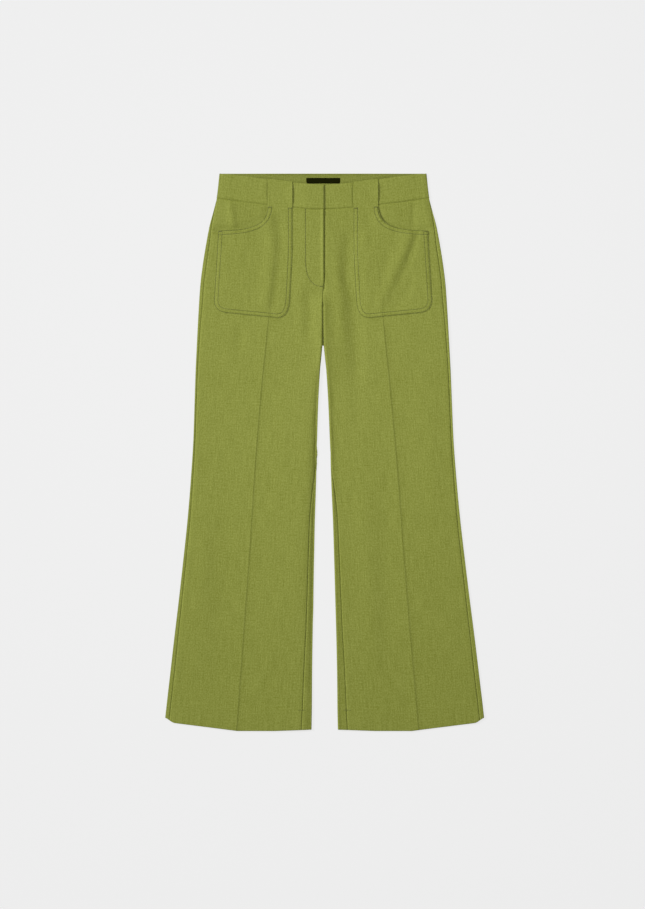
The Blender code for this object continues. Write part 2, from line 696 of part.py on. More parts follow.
def build_label(group, root):
    height = BAND + GAP + LABEL_THICK / 2
    centre = place(LEFT, 0.6, LABEL_TOP + LABEL_SIZE[1] / 2, height)
    size = (LABEL_SIZE[0], LABEL_SIZE[1], LABEL_THICK)
    flat_strip("label", size, centre, WOVEN_BLACK, group, root)


def main():
    clear_scene()
    group = bpy.data.collections.new("gabardine_trousers")
    bpy.context.scene.collection.children.link(group)
    root = bpy.data.objects.new("trousers", None)
    group.objects.link(root)
    for side in (RIGHT, LEFT):
        build_leg(side, group, root)
        build_waistband(side, group, root)
        pocket = pocket_rows(side)
        sheet("pocket_" + SIDE_NAMES[side], pocket, CLOTH, True, group, root)
    build_fly(group, root)
    build_label(group, root)


main()
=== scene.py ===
"""Looks of a pair of flared gabardine trousers that lies flat on a pale table, front up.

The sections follow the garment from the table up: backs, fly underlap and zip, fronts,
waistband, label, patch pockets with their long loops, and last the visible sewing.
Lengths are in millimetres until a mesh takes them in metres. For one half of the
garment, "across" is the distance out from the centre line, "down" the distance below
the top of the back waistband, and "height" the distance above the table. A "level" is
a row's distance down before the dip of the waist and the curve of the hem move it.
RIGHT and LEFT are the wearer's, so RIGHT is at -X. The waist is at +Y.
"""

import math
from collections import namedtuple

import bpy
import numpy as np
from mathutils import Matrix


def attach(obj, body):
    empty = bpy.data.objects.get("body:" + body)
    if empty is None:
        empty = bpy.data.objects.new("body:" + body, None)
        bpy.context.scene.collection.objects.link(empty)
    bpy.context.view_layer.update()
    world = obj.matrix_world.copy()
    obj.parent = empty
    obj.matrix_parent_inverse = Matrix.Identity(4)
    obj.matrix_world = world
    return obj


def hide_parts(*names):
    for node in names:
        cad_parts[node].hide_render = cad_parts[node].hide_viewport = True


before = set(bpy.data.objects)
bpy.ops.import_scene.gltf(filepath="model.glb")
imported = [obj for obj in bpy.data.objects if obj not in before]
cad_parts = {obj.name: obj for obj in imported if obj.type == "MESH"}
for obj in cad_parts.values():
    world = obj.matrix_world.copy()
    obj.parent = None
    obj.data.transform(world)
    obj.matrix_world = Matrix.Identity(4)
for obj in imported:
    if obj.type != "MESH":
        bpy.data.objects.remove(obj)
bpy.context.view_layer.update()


# ---- table, lamps and camera -------------------------------------------------------------
# The trousers lie on a plain pale table. A broad lamp far off at the picture's upper left
# gives the soft shadows, and a nearer one above makes the waist and thighs a little
# brighter than the hems. The camera looks straight down. This section is in metres.
PICTURE_HEIGHT = 1.7116  # how much the upright picture takes in, at the cloth's top
PICTURE_CENTRE = (-0.0041, -0.0042)
CLOTH_TOP = 0.005
LENS, SENSOR = 100.0, 36.0  # millimetres
TABLE_SIZE = 80.0
TABLE_FACE = -0.0002  # just below the lowest cloth
TABLE_GREY = 0.085  # how much of the lamps' light the table gives back
TABLE_GLOW = 0.775  # and its own even brightness
HORIZON, OVERHEAD = 0.86, 0.15  # brightness of the sky
HORIZON_ENDS, OVERHEAD_STARTS = 0.03, 0.3  # heights of a direction, from 0 to 1

camera_data = bpy.data.cameras.new("camera")
camera_data.lens = LENS
camera_data.sensor_width = SENSOR
camera = bpy.data.objects.new("camera", camera_data)
camera.location = (*PICTURE_CENTRE, PICTURE_HEIGHT * LENS / SENSOR + CLOTH_TOP)
bpy.context.scene.collection.objects.link(camera)
bpy.context.scene.camera = camera
bpy.context.scene.view_settings.view_transform = "Standard"


def soft_lamp(name, stand, aim, size, watts):
    """A round lamp that stands at one place and points at another."""
    lamp = bpy.data.lights.new(name, "AREA")
    lamp.shape = "DISK"
    lamp.size = size
    lamp.energy = watts
    holder = bpy.data.objects.new(name, lamp)
    bpy.context.scene.collection.objects.link(holder)
    holder.location = stand
    away = holder.location - type(holder.location)(aim)
    holder.rotation_euler = away.to_track_quat("Z", "Y").to_euler()
    holder.visible_camera = False


soft_lamp("left_lamp", (-7.2, 2.8, 6.0), (2.0, -1.5, 0), 3.2, 904)
soft_lamp("upper_lamp", (0.05, 0.32, 1.3), (0.05, 0.0, 0), 0.6, 7.0)

bpy.ops.object.select_all(action="DESELECT")
bpy.ops.mesh.primitive_plane_add(size=TABLE_SIZE, location=(0, 0, TABLE_FACE))
table = bpy.context.object
table.name = "table"
table_paint = bpy.data.materials.new("table_paint")
table_paint.use_nodes = True
table_shader = table_paint.node_tree.nodes["Principled BSDF"]
table_shader.inputs["Base Color"].default_value = (TABLE_GREY, TABLE_GREY, TABLE_GREY, 1)
table_shader.inputs["Roughness"].default_value = 0.9
table_shader.inputs["Specular IOR Level"].default_value = 0.0
table_shader.inputs["Emission Color"].default_value = (1, 1, 1, 1)
table_shader.inputs["Emission Strength"].default_value = TABLE_GLOW
table_paint.cycles.emission_sampling = "NONE"
table.data.materials.append(table_paint)

studio = bpy.data.worlds.new("studio")
studio.use_nodes = True
bpy.context.scene.world = studio
sky = studio.node_tree.nodes
sky_links = studio.node_tree.links
sky_direction = sky.new("ShaderNodeTexCoord")
sky_height = sky.new("ShaderNodeSeparateXYZ")
sky_ramp = sky.new("ShaderNodeValToRGB")
sky_ramp.color_ramp.elements[0].position = HORIZON_ENDS
sky_ramp.color_ramp.elements[0].color = (HORIZON, HORIZON, HORIZON, 1)
sky_ramp.color_ramp.elements[1].position = OVERHEAD_STARTS
sky_ramp.color_ramp.elements[1].color = (OVERHEAD, OVERHEAD, OVERHEAD, 1)
sky_links.new(sky_direction.outputs["Generated"], sky_height.inputs[0])
sky_links.new(sky_height.outputs["Z"], sky_ramp.inputs["Fac"])
sky_links.new(sky_ramp.outputs["Color"], sky["Background"].inputs["Color"])


# ---- backs ---------------------------------------------------------------------------------
# Each back is one panel of gabardine. It lies underneath, comes round over both edges of
# the leg and meets the front at a pressed-open seam. The hem is turned up inside by 40 mm.
MM = 0.001
RIGHT, LEFT = -1, 1
SIDE_NAMES = {RIGHT: "right", LEFT: "left"}
LENGTH = 1050.0  # top of the back waistband to the lowest point of the hem
CLOTH = 0.8  # one layer of gabardine
SIDE_ROLL = 3.0  # outer radius of the cloth where it turns over at the side
EDGE_PRESS = 3.0  # 2 is a round fold; a higher number is a fold that is pressed flatter
LEAN = -3.2  # the centre line at the waist, in X
LEAN_FROM = 200.0  # from here down it comes back, to 0 at the hem
SEAM = 0.05  # half of the gap that a sewn seam leaves
SEWN_DIP, SEWN_REACH = 0.9, 1.6  # the cloth dips by this much at a seam, and this wide
ALLOWANCE_LIFT = 0.22  # and the pressed-open allowance lifts it again beside the seam
ALLOWANCE_STARTS, ALLOWANCE_ENDS = (0.8, 2.8), (8.5, 11.0)
NEXT = 0.5  # a point this much further down shows which way the cloth faces

BAND_DEPTH = 46.0  # waistband, top edge to seam, at the side
FRONT_DIP = 20.0  # how far the front's top edge dips at the centre
DIP_CURVE, DIP_EASE = 1.6, 1.5  # powers of its curve towards the side and the centre
SEAM_DIP = 21.4  # how far the waistband seam dips at the centre
SEAM_DIP_CURVE = 1.4  # and the power of its curve
DIP_FADES = 204.0  # the dip of the rows fades out this far below the seam

HEM_FOLD = 40.0  # depth of the turned-up hem
HEM_THICK = 1.9  # its two layers, pressed
HEM_RISE = 17.5  # how much higher the hem is at the side
HEM_CORNER = 8.0  # and the last rise, at its corner
HEM_INNER = 2.5  # and at the inner edge
HEM_RISE_FROM = 0.5  # the shares of the leg's width where these begin, or end
HEM_CORNER_FROM = 0.925
HEM_INNER_TO = 0.25
HEM_CURVE_FROM = 750.0  # the rows take up the hem's curve from here down
FORK_LEVEL = 327.0  # here the crotch seam meets the inside leg seams

Section = namedtuple("Section", "down outer inner inner_roll middle")
SECTIONS = (
    Section(0, 195.0, -4.5, 4.5, 5.2),
    Section(46, 200.3, -4.5, 4.5, 4.5),
    Section(106, 215.0, -4.5, 4.5, 4.3),
    Section(200, 229.8, -4.5, 4.5, 4.3),
    Section(225, 232.0, -4.5, 4.5, 4.4),
    Section(257, 234.0, 0.2, 4.5, 4.6),
    Section(290, 235.9, 0.7, 4.5, 4.8),
    Section(325, 237.7, 1.6, 4.5, 4.8),
    Section(373, 240.1, 6.0, 4.2, 4.5),
    Section(425, 242.0, 9.3, 3.8, 4.2),
    Section(500, 244.8, 12.1, 3.4, 4.0),
    Section(577, 250.1, 14.3, 3.0, 3.9),
    Section(652, 256.7, 17.0, 3.0, 3.8),
    Section(728, 265.1, 18.9, 3.0, 3.8),
    Section(803, 273.9, 20.6, 3.0, 3.8),
    Section(880, 283.4, 22.4, 3.0, 3.9),
    Section(954, 292.1, 23.6, 3.0, 4.1),
    Section(1003, 297.9, 23.9, 3.0, 4.6),
    Section(1050, 303.0, 24.8, 3.0, 4.9),
)

# How far the cloth of the back comes round over each edge before its seam, along the
# cloth from the edge's outermost line. Below zero the seam is still underneath.
Turn = namedtuple("Turn", "down side inner")
TURNS = (
    Turn(46, 0.0, -11.5),
    Turn(62, 1.4, -11.5),
    Turn(85, 4.2, -11.5),
    Turn(112, 6.6, -11.5),
    Turn(144, 8.4, -11.5),
    Turn(230, 8.6, -11.5),
    Turn(290, 6.8, -11.5),
    Turn(340, 6.0, -11.5),
    Turn(430, 5.2, -8.0),
    Turn(500, 5.2, -2.6),
    Turn(560, 5.6, 3.4),
    Turn(600, 6.0, 8.0),
    Turn(650, 6.6, 10.8),
    Turn(730, 7.2, 12.2),
    Turn(850, 8.4, 13.8),
    Turn(940, 9.2, 16.8),
    Turn(1050, 9.4, 20.5),
)

# Soft folds: ridges, and troughs where height is below zero. On the backs they lift the
# cloth a little off the table.
Fold = namedtuple("Fold", "side across_a down_a across_b down_b width height")
BACK_FOLDS = (
    Fold(RIGHT, 112, 330, 128, 610, 16, 0.25),
    Fold(RIGHT, 60, 300, 70, 470, 14, 0.35),
    Fold(RIGHT, 190, 520, 214, 860, 22, 0.3),
    Fold(RIGHT, 84, 660, 96, 960, 20, 0.3),
    Fold(LEFT, 118, 300, 130, 560, 18, 0.3),
    Fold(LEFT, 58, 340, 74, 520, 13, 0.35),
    Fold(LEFT, 200, 600, 226, 900, 20, 0.25),
    Fold(LEFT, 90, 600, 108, 940, 22, 0.3),
)
FOLD_STARTS, FOLD_ENDS = (-0.15, 0.25), (0.75, 1.15)  # it fades over these shares of its run
WAVES = 16  # how many faint waves make pressed cloth uneven
WAVE_TURN = 0.45  # how far their headings spread, in radians
WAVE_RANGE = (0.55, 1.7)  # the shortest and longest, beside the length that is asked for
CREASE_PRESS, CREASE_REACH = 0.45, 9.0  # a crease presses a back down on the table
CREASE_GROWS = (200, 320)  # the levels where it comes in
OFF_SIDE, OFF_CENTRE = (6, 30), (18, 40)  # nearer to an edge a back lies flat on the table


def smooth(value, start, end):
    """0 before start, 1 after end, and a soft S between them."""
    t = np.clip((value - start) / (end - start), 0.0, 1.0)
    return t * t * (3 - 2 * t)


def mix(a, b, share):
    return a + (b - a) * share


def at(table_rows, column, down):
    """A table's column at any level, on a smooth curve that never overshoots its rows."""
    x = np.array([row.down for row in table_rows], float)
    y = np.array([getattr(row, column) for row in table_rows], float)
    down = np.clip(down, x[0], x[-1])
    rise = np.diff(y) / np.diff(x)
    before, after = rise[:-1], rise[1:]
    same_way = before * after > 0
    total = np.where(same_way, before + after, 1.0)
    inner_slopes = np.where(same_way, 2 * before * after / total, 0.0)
    slope = np.concatenate(([rise[0]], inner_slopes, [rise[-1]]))
    i = np.clip(np.searchsorted(x, down, side="right") - 1, 0, len(x) - 2)
    span = x[i + 1] - x[i]
    t = (down - x[i]) / span
    return (
        y[i] * (1 + 2 * t) * (1 - t) ** 2
        + slope[i] * span * t * (1 - t) ** 2
        + y[i + 1] * t * t * (3 - 2 * t)
        + slope[i + 1] * span * t * t * (t - 1)
    )


def place(side, across, down, height):
    """Points of one half in the garment's frame, still in millimetres."""
    centre = LEAN * (1 - smooth(down, LEAN_FROM, LENGTH))
    across, down, height = np.broadcast_arrays(across, down, height)
    return np.stack([centre + side * across, LENGTH / 2 - down, height], axis=-1)


def share_across(across, down):
    """0 at the centre or the inner edge, and 1 at the outer edge."""
    inner = np.maximum(at(SECTIONS, "inner", down), 0.0)
    outer = at(SECTIONS, "outer", down)
    return np.clip((across - inner) / (outer - inner), 0.0, 1.0)


def hem_lift(level, share):
    """How much higher the cloth lies than its level, near the curved hem."""
    slope = HEM_RISE * np.maximum(0.0, share - HEM_RISE_FROM) / (1 - HEM_RISE_FROM)
    corner = HEM_CORNER * smooth(share, HEM_CORNER_FROM, 1.0)
    inner = HEM_INNER * np.maximum(0.0, HEM_INNER_TO - share) / HEM_INNER_TO
    return (slope + corner + inner) * smooth(level, HEM_CURVE_FROM, LENGTH)


def back_level(level, share):
    """How far down a back's row really lies: the hem rows rise towards the edges."""
    return level - hem_lift(level, share)


def fold_height(fold, across, down):
    """A soft ridge or trough along a line, dying away at both of its ends."""
    run_across = fold.across_b - fold.across_a
    run_down = fold.down_b - fold.down_a
    run = math.hypot(run_across, run_down)
    off_across, off_down = across - fold.across_a, down - fold.down_a
    t = (off_across * run_across + off_down * run_down) / run**2
    beside = (off_across * run_down - off_down * run_across) / run
    ends = smooth(t, *FOLD_STARTS) * (1 - smooth(t, *FOLD_ENDS))
    return fold.height * np.exp(-((beside / fold.width) ** 2)) * ends


def unevenness(seed, across, down, length, depth):
    """Faint waves that lie mostly along the legs, as pressed cloth keeps them."""
    chance = np.random.default_rng(seed)
    total = 0.0
    for _ in range(WAVES):
        heading = chance.normal(0.0, WAVE_TURN)
        wave = length * chance.uniform(*WAVE_RANGE)
        along = across * math.cos(heading) + down * math.sin(heading)
        total = total + np.sin(2 * math.pi * along / wave + chance.uniform(0, 2 * math.pi))
    return depth * total / math.sqrt(WAVES / 2)


def ring(edge, down, turn, face):
    """(across, height) on the leg's outer face, a distance along the cloth from an edge.

    turn counts from the edge's outermost line: up and over for turn above zero, and
    under for turn below it. face gives the height on top, past the edge's roll.
    """
    roll = SIDE_ROLL if edge == "outer" else at(SECTIONS, "inner_roll", down)
    inwards = -1 if edge == "outer" else 1
    quarter = math.pi * roll / 2
    bent = np.clip(turn, -quarter, quarter)
    past = np.abs(turn) - np.abs(bent)
    across = at(SECTIONS, edge, down) + inwards * (roll * (1 - np.cos(bent / roll)) + past)
    crown = face(at(SECTIONS, edge, down) + inwards * roll, down) - roll
    pressed = 1 - np.cos(np.clip(bent, 0, None) / roll) ** EDGE_PRESS
    over = roll + crown * np.abs(pressed) ** (1 / EDGE_PRESS)
    height = np.where(turn > 0, over, roll + roll * np.sin(bent / roll))
    return across, np.where(turn > quarter, face(across, down), height)


def sewn_edge(away):
    """Height near a pressed-open seam: the edge dips, and the turned cloth lifts beside it."""
    allowance = smooth(away, *ALLOWANCE_STARTS) * (1 - smooth(away, *ALLOWANCE_ENDS))
    return ALLOWANCE_LIFT * allowance - SEWN_DIP * (1 - smooth(away, 0.0, SEWN_REACH))


def lengths_along(points, axis):
    """Length of the cloth from the first row or column to each of the others."""
    steps = np.linalg.norm(np.diff(points, axis=axis), axis=2)
    start = np.zeros_like(np.take(steps, [0], axis=axis))
    return np.cumsum(np.concatenate([start, steps], axis=axis), axis=axis)


def outward(points, lower, upwards):
    """Unit normals on the cloth's outer side; lower is each point a little further down."""
    normal = np.cross(np.gradient(points, axis=1), lower - points)
    normal /= np.linalg.norm(normal, axis=2, keepdims=True)
    middle = normal[:, normal.shape[1] // 2, 2].mean()
    return normal if (middle > 0) == upwards else -normal


SHORT_STEPS, STEP_GROWTH = 6, 1.5  # this many columns by an edge are closer together
FOLD_POINTS = 9  # round half a turn of cloth


def ends_first(count, first, last=None):
    """Shares from 0 to 1 with short steps at the start, and at the end if last is given."""
    steps = np.ones(count)
    for k in range(SHORT_STEPS):
        growth = (k / SHORT_STEPS) ** STEP_GROWTH
        steps[k] = mix(first, 1.0, growth)
        if last is not None:
            steps[-1 - k] = mix(last, 1.0, growth)
    shares = np.concatenate([[0.0], np.cumsum(steps)])
    return shares / shares[-1]


def turned_edge(outer_levels, foot, thick, depth_of_fold, steps):
    """Levels and depths of the rows of a panel that is turned up inside at its foot."""
    radius = thick / 2
    angle = np.linspace(0, math.pi, FOLD_POINTS)[1:-1]
    inside = foot - radius - np.linspace(0, depth_of_fold, steps)
    levels = np.concatenate([outer_levels, foot - radius + radius * np.sin(angle), inside])
    depth = np.concatenate(
        [np.zeros(len(outer_levels)), radius - radius * np.cos(angle), np.full(steps, thick)]
    )
    return levels[:, None], depth[:, None]


SHARP = math.radians(50)  # edges that turn by more than this stay sharp


def lay_cloth(name, points, upwards, crease_column=0, flat_grain=False):
    """A grid laid on the form point by point, and given the thickness of the cloth.

    points is an array of rows and columns of the outer face. Its map follows the grain
    in metres: across the panel from the crease and down it, or straight up and across.
    """
    rows, columns = points.shape[:2]
    bpy.ops.object.select_all(action="DESELECT")
    bpy.ops.mesh.primitive_grid_add(
        x_subdivisions=columns - 1, y_subdivisions=rows - 1, size=1, calc_uvs=True
    )
    piece = bpy.context.object
    piece.name = piece.data.name = name
    mesh = piece.data
    flat = np.empty(len(mesh.vertices) * 3)
    mesh.vertices.foreach_get("co", flat)
    flat = flat.reshape(-1, 3)
    column = np.rint((flat[:, 0] + 0.5) * (columns - 1)).astype(int)
    row = np.rint((0.5 - flat[:, 1]) * (rows - 1)).astype(int)
    mesh.vertices.foreach_set("co", (points[row, column] * MM).ravel())

    if flat_grain:
        grain = points[row, column, :2] * MM
    else:
        u = lengths_along(points, 1)
        u = u - u[:, crease_column : crease_column + 1]
        v = -lengths_along(points, 0)[:, crease_column]
        grain = np.stack([u[row, column], v[row]], axis=1) * MM
    corner = np.empty(len(mesh.loops), np.int32)
    mesh.loops.foreach_get("vertex_index", corner)
    mesh.uv_layers[0].name = "grain"
    mesh.uv_layers[0].data.foreach_set("uv", grain[corner].ravel())

    mesh.update()
    well_inside = (rows // 5) * (columns - 1) + columns // 2  # a face on the outer side
    if (mesh.polygons[well_inside].normal.z > 0) != upwards:
        mesh.flip_normals()
    wall = piece.modifiers.new("wall", "SOLIDIFY")
    wall.thickness = CLOTH * MM
    wall.offset = -1
    bpy.ops.object.modifier_apply(modifier=wall.name)
    bpy.ops.object.shade_smooth_by_angle(angle=SHARP)
    return piece


DARK_YARN, LIGHT_YARN = (0.147, 0.168, 0.0062, 1), (0.283, 0.312, 0.0630, 1)
TWILL_SLANT = math.radians(-27)


def gabardine_cloth():
    """Close steep twill in a worsted yarn: fine streaks along the warp, fewer across."""
    material = bpy.data.materials.new("moss_green_gabardine")
    material.use_nodes = True
    nodes, links = material.node_tree.nodes, material.node_tree.links
    shader = nodes["Principled BSDF"]
    shader.inputs["Specular IOR Level"].default_value = 0.3
    shader.inputs["Sheen Weight"].default_value = 0.1
    shader.inputs["Sheen Roughness"].default_value = 0.45
    grain = nodes.new("ShaderNodeUVMap")
    grain.uv_map = "grain"

    def noise(label, per_metre_across, per_metre_down, detail):
        turned = nodes.new("ShaderNodeMapping")
        turned.inputs["Scale"].default_value = (per_metre_across, per_metre_down, 1)
        texture = nodes.new("ShaderNodeTexNoise")
        texture.label = label
        texture.noise_dimensions = "2D"
        texture.inputs["Scale"].default_value = 1.0
        texture.inputs["Detail"].default_value = detail
        links.new(grain.outputs["UV"], turned.inputs["Vector"])
        links.new(turned.outputs["Vector"], texture.inputs["Vector"])
        return texture.outputs["Fac"]

    def combine(operation, first, second):
        node = nodes.new("ShaderNodeMath")
        node.operation = operation
        for socket, value in zip(node.inputs, (first, second)):
            if isinstance(value, (int, float)):
                socket.default_value = value
            else:
                links.new(value, socket)
        return node.outputs["Value"]

    yarn = noise("yarn", 420, 330, 2.0)
    warp = noise("warp streaks", 520, 26, 1.0)
    weft = noise("weft slubs", 45, 430, 1.0)
    cloud = noise("uneven dye", 11, 7, 2.0)
    shade = combine("ADD", combine("MULTIPLY", yarn, 0.53), combine("MULTIPLY", warp, 0.28))
    shade = combine("ADD", shade, combine("MULTIPLY", weft, 0.15))
    shade = combine("ADD", shade, combine("MULTIPLY", cloud, 0.04))
    dye = nodes.new("ShaderNodeValToRGB")
    dye.color_ramp.elements[0].position = 0.25
    dye.color_ramp.elements[0].color = DARK_YARN
    dye.color_ramp.elements[1].position = 0.75
    dye.color_ramp.elements[1].color = LIGHT_YARN
    links.new(shade, dye.inputs["Fac"])
    links.new(dye.outputs["Color"], shader.inputs["Base Color"])

    rough = nodes.new("ShaderNodeMapRange")
    rough.inputs["To Min"].default_value = 0.62
    rough.inputs["To Max"].default_value = 0.84
    links.new(warp, rough.inputs["Value"])
    links.new(rough.outputs["Result"], shader.inputs["Roughness"])

    slant = nodes.new("ShaderNodeMapping")
    slant.inputs["Rotation"].default_value = (0, 0, TWILL_SLANT)
    slant.inputs["Scale"].default_value = (1000, 1000, 1)
    twill = nodes.new("ShaderNodeTexWave")
    twill.wave_type = "BANDS"
    twill.inputs["Scale"].default_value = 0.5
    twill.inputs["Distortion"].default_value = 0.6
    twill.inputs["Detail"].default_value = 1.0
    links.new(grain.outputs["UV"], slant.inputs["Vector"])
    links.new(slant.outputs["Vector"], twill.inputs["Vector"])
    relief = combine("ADD", combine("MULTIPLY", twill.outputs["Fac"], 0.35), yarn)
    bump = nodes.new("ShaderNodeBump")
    bump.inputs["Strength"].default_value = 0.5
    bump.inputs["Distance"].default_value = 0.00012
    links.new(relief, bump.inputs["Height"])
    links.new(bump.outputs["Normal"], shader.inputs["Normal"])
    return material


gabardine = gabardine_cloth()


Crease = namedtuple("Crease", "down right left")
CREASES = (
    Crease(46, 80.0, 91.0),
    Crease(277, 102.7, 113.8),
    Crease(427, 118.0, 128.4),
    Crease(578, 130.4, 140.9),
    Crease(729, 141.0, 151.3),
    Crease(879, 152.8, 163.0),
    Crease(1050, 165.5, 177.6),
)


def crease_across(side, down):
    """The pressed crease of a leg, from under the pocket down to the hem."""
    return at(CREASES, SIDE_NAMES[side], down)


def back_underside(side, across, down):
    """The back's lower face: flat on the table, but for the creases pressed into it."""
    beside = across - crease_across(side, down)
    crease = CREASE_PRESS * (1 - np.exp(-np.abs(beside) / CREASE_REACH))
    crease = crease * smooth(down, *CREASE_GROWS)
    folds = sum(fold_height(f, across, down) for f in BACK_FOLDS if f.side == side)
    inside = smooth(at(SECTIONS, "outer", down) - across, *OFF_SIDE) * smooth(across, *OFF_CENTRE)
    return (crease + np.abs(folds)) * inside


SIDE_COLUMNS, INNER_COLUMNS = 20, 26  # steps of cloth over a leg's two edges
OUTER_HALF, INNER_HALF = 27, 23  # and columns from each of them to the crease
CREASE_GATHER = 1.5  # a power that brings the columns closer at the crease
FLAT_INSET = 1.5  # the columns between the edges keep this clear of the rolls
CENTRE_FLAT = 16.0  # above the fork the inner columns lie flat, from here to the seam


def back_rows(side, level):
    """The back's outer face at each level, and the number of its column at the crease.

    A row runs over the side, underneath, and over the inside of the leg.
    """
    side_turn = at(TURNS, "side", level) - SEAM
    under_side = np.minimum(-math.pi * SIDE_ROLL / 2, side_turn - 1)
    turns = mix(side_turn, under_side, ends_first(SIDE_COLUMNS, 0.3))
    edge_down = back_level(level, 1.0)
    side_across, side_height = ring("outer", edge_down, turns, top_at(side))
    side_down = back_level(level, share_across(side_across, level))

    seam = at(TURNS, "inner", level) - SEAM
    roll = at(SECTIONS, "inner_roll", level)
    under = np.minimum(-math.pi * roll / 2, seam - 1)
    turns = mix(under, seam, 1 - ends_first(INNER_COLUMNS, 0.25)[::-1])
    end_across, end_height = ring("inner", back_level(level, 0.0), turns, top_at(side))
    below_fork = smooth(level, FORK_LEVEL - 2, FORK_LEVEL + 4)
    to_centre = mix(CENTRE_FLAT, 0.0, np.linspace(0, 1, INNER_COLUMNS + 1))
    end_across = mix(to_centre, end_across, below_fork)
    end_height = end_height * below_fork
    end_down = back_level(level, share_across(end_across, level))

    first = at(SECTIONS, "outer", edge_down) - SIDE_ROLL - FLAT_INSET
    crease = crease_across(side, level)
    last = end_across[:, :1] + FLAT_INSET
    outward_shares = (1 - np.linspace(0, 1, OUTER_HALF)[:-1]) ** CREASE_GATHER
    outer_half = mix(first, crease, 1 - outward_shares)
    inner_half = mix(crease, last, np.linspace(0, 1, INNER_HALF)[:-1] ** CREASE_GATHER)
    middle = np.concatenate([outer_half, inner_half], axis=1)
    middle_down = back_level(level, share_across(middle, level))
    middle_height = back_underside(side, middle, middle_down)
    return place(
        side,
        np.concatenate([side_across, middle, end_across], axis=1),
        np.concatenate([side_down, middle_down, end_down], axis=1),
        np.concatenate([side_height, middle_height, end_height], axis=1),
    ), side_across.shape[1] + outer_half.shape[1]


# Ridges and troughs of the fronts, which the turned edges of the backs follow too.
FRONT_FOLDS = (
    Fold(LEFT, 50, 110, 43, 200, 13, -2.3),  # a bent trough beside the left pocket
    Fold(LEFT, 45, 188, 60, 262, 13, -2.6),
    Fold(LEFT, 60, 248, 63, 392, 15, -2.4),
    Fold(LEFT, 6, 62, 8, 240, 26, 1.6),
    Fold(LEFT, 26, 150, 38, 330, 11, 1.7),
    Fold(LEFT, 60, 360, 66, 480, 14, -0.6),
    Fold(RIGHT, 25, 225, 27, 310, 10, -1.3),
    Fold(RIGHT, 42, 190, 40, 330, 11, 0.8),
    Fold(RIGHT, 156, 285, 158, 340, 11, -0.9),
    Fold(RIGHT, 177, 50, 168, 104, 7, 2.2),
    Fold(RIGHT, 128, 56, 126, 100, 22, -1.4),
    Fold(LEFT, 166, 48, 164, 108, 24, -1.2),
    Fold(LEFT, 171, 54, 169, 114, 5, -1.5),
    Fold(LEFT, 200, 56, 203, 100, 10, 1.4),
    Fold(LEFT, 78, 560, 92, 930, 20, 0.9),
    Fold(LEFT, 112, 600, 122, 900, 20, -0.6),
    Fold(RIGHT, 222, 640, 240, 930, 20, 0.8),
    Fold(RIGHT, 186, 620, 200, 900, 22, -0.5),
    Fold(RIGHT, 74, 420, 84, 700, 20, 0.5),
    Fold(LEFT, 190, 380, 204, 640, 22, 0.6),
)
EDGE_FADE = 16.0  # how fast the height settles inwards from a turned edge
EDGE_CLEAR = 20.0  # folds and creases fade out this near to one
SIDE_DROP = 0.9  # the fronts fall by this much towards the pressed side edges
SIDE_FADE = 6.0
EDGES_TURN = (214, 246)  # above these levels the fronts meet flat, and below them they turn
FRONT_WAVE, FRONT_WAVE_DEPTH = 46.0, 0.05
HEM_STEP, HEM_STEP_AT = 0.35, (1003, 1013)  # the turned-up cloth shows as a faint step

# The inside of the wearer's right leg is rounder: a broad swell falls away to its edge.
Round = namedtuple("Round", "down drop reach")
INSIDE_ROUND = (
    Round(340, 1.5, 4.0),
    Round(427, 3.4, 5.0),
    Round(520, 6.4, 6.5),
    Round(615, 7.0, 8.5),
    Round(700, 7.6, 9.5),
    Round(800, 7.0, 10.0),
    Round(900, 5.0, 10.5),
    Round(1000, 3.0, 10.5),
)
SWELL, SWELL_REACH = 0.85, 60  # the swell's share of that drop
INSIDE_GROWS = (330, 430)  # the levels where the legs' insides take their own form
# On the left leg a low lip stands along the inside, with a shallow dip beside it. Each
# has a height at the thigh and one at the shin.
INSIDE_LIP, LIP_REACH = (3.4, 2.0), 5
INSIDE_DIP, DIP_REACH = (2.2, 0.9), 14
SHIN = (560, 800)
FLY_END = 212.0  # bar tack at the foot of the fly
FLY_WIDTH = 33.0  # fly edge to the curved stitching
FLY_LAP = 1.5  # how far the right front passes the centre line
FLY_RAISE = 1.8  # the right front lies this much higher, over zip and underlap
FLY_RAISE_ENDS = (-6, 42)  # across, past the stitching
FLY_RAISE_STOPS = 26  # and below the fly's end

RIDGE, RIDGE_REACH = 0.8, 24.0  # a pressed crease is a broad low ridge
STEP_FROM = 0.9  # that steps down just before its line,
SHARP_STEP, SOFT_STEP, SOFT_STEP_REACH = 0.85, 0.7, 5.0  # sharply and then softly,
STEP_REACH = 30.0  # and comes back over this distance
UNDER_POCKET, POCKET_PASSED = 0.45, (250, 300)  # the pocket's cloth flattens it
RIDGE_GROWS = (90, 200)
AT_SHIN, SHIN_CREASE = 0.85, (450, 800)


def crease_ridge(side, across, down):
    """A pressed crease: a broad low ridge that steps down sharply at its +X side."""
    beside = side * (across - crease_across(side, down))
    past = np.maximum(beside + STEP_FROM, 0)
    step = SHARP_STEP * (1 - np.exp(-past)) + SOFT_STEP * (1 - np.exp(-past / SOFT_STEP_REACH))
    ridge = RIDGE * np.exp(-np.abs(beside) / RIDGE_REACH) - step * np.exp(-past / STEP_REACH)
    ridge = ridge * mix(UNDER_POCKET, 1.0, smooth(down, *POCKET_PASSED))
    ridge = ridge * smooth(down, *RIDGE_GROWS)
    return ridge * mix(1.0, AT_SHIN, smooth(down, *SHIN_CREASE))


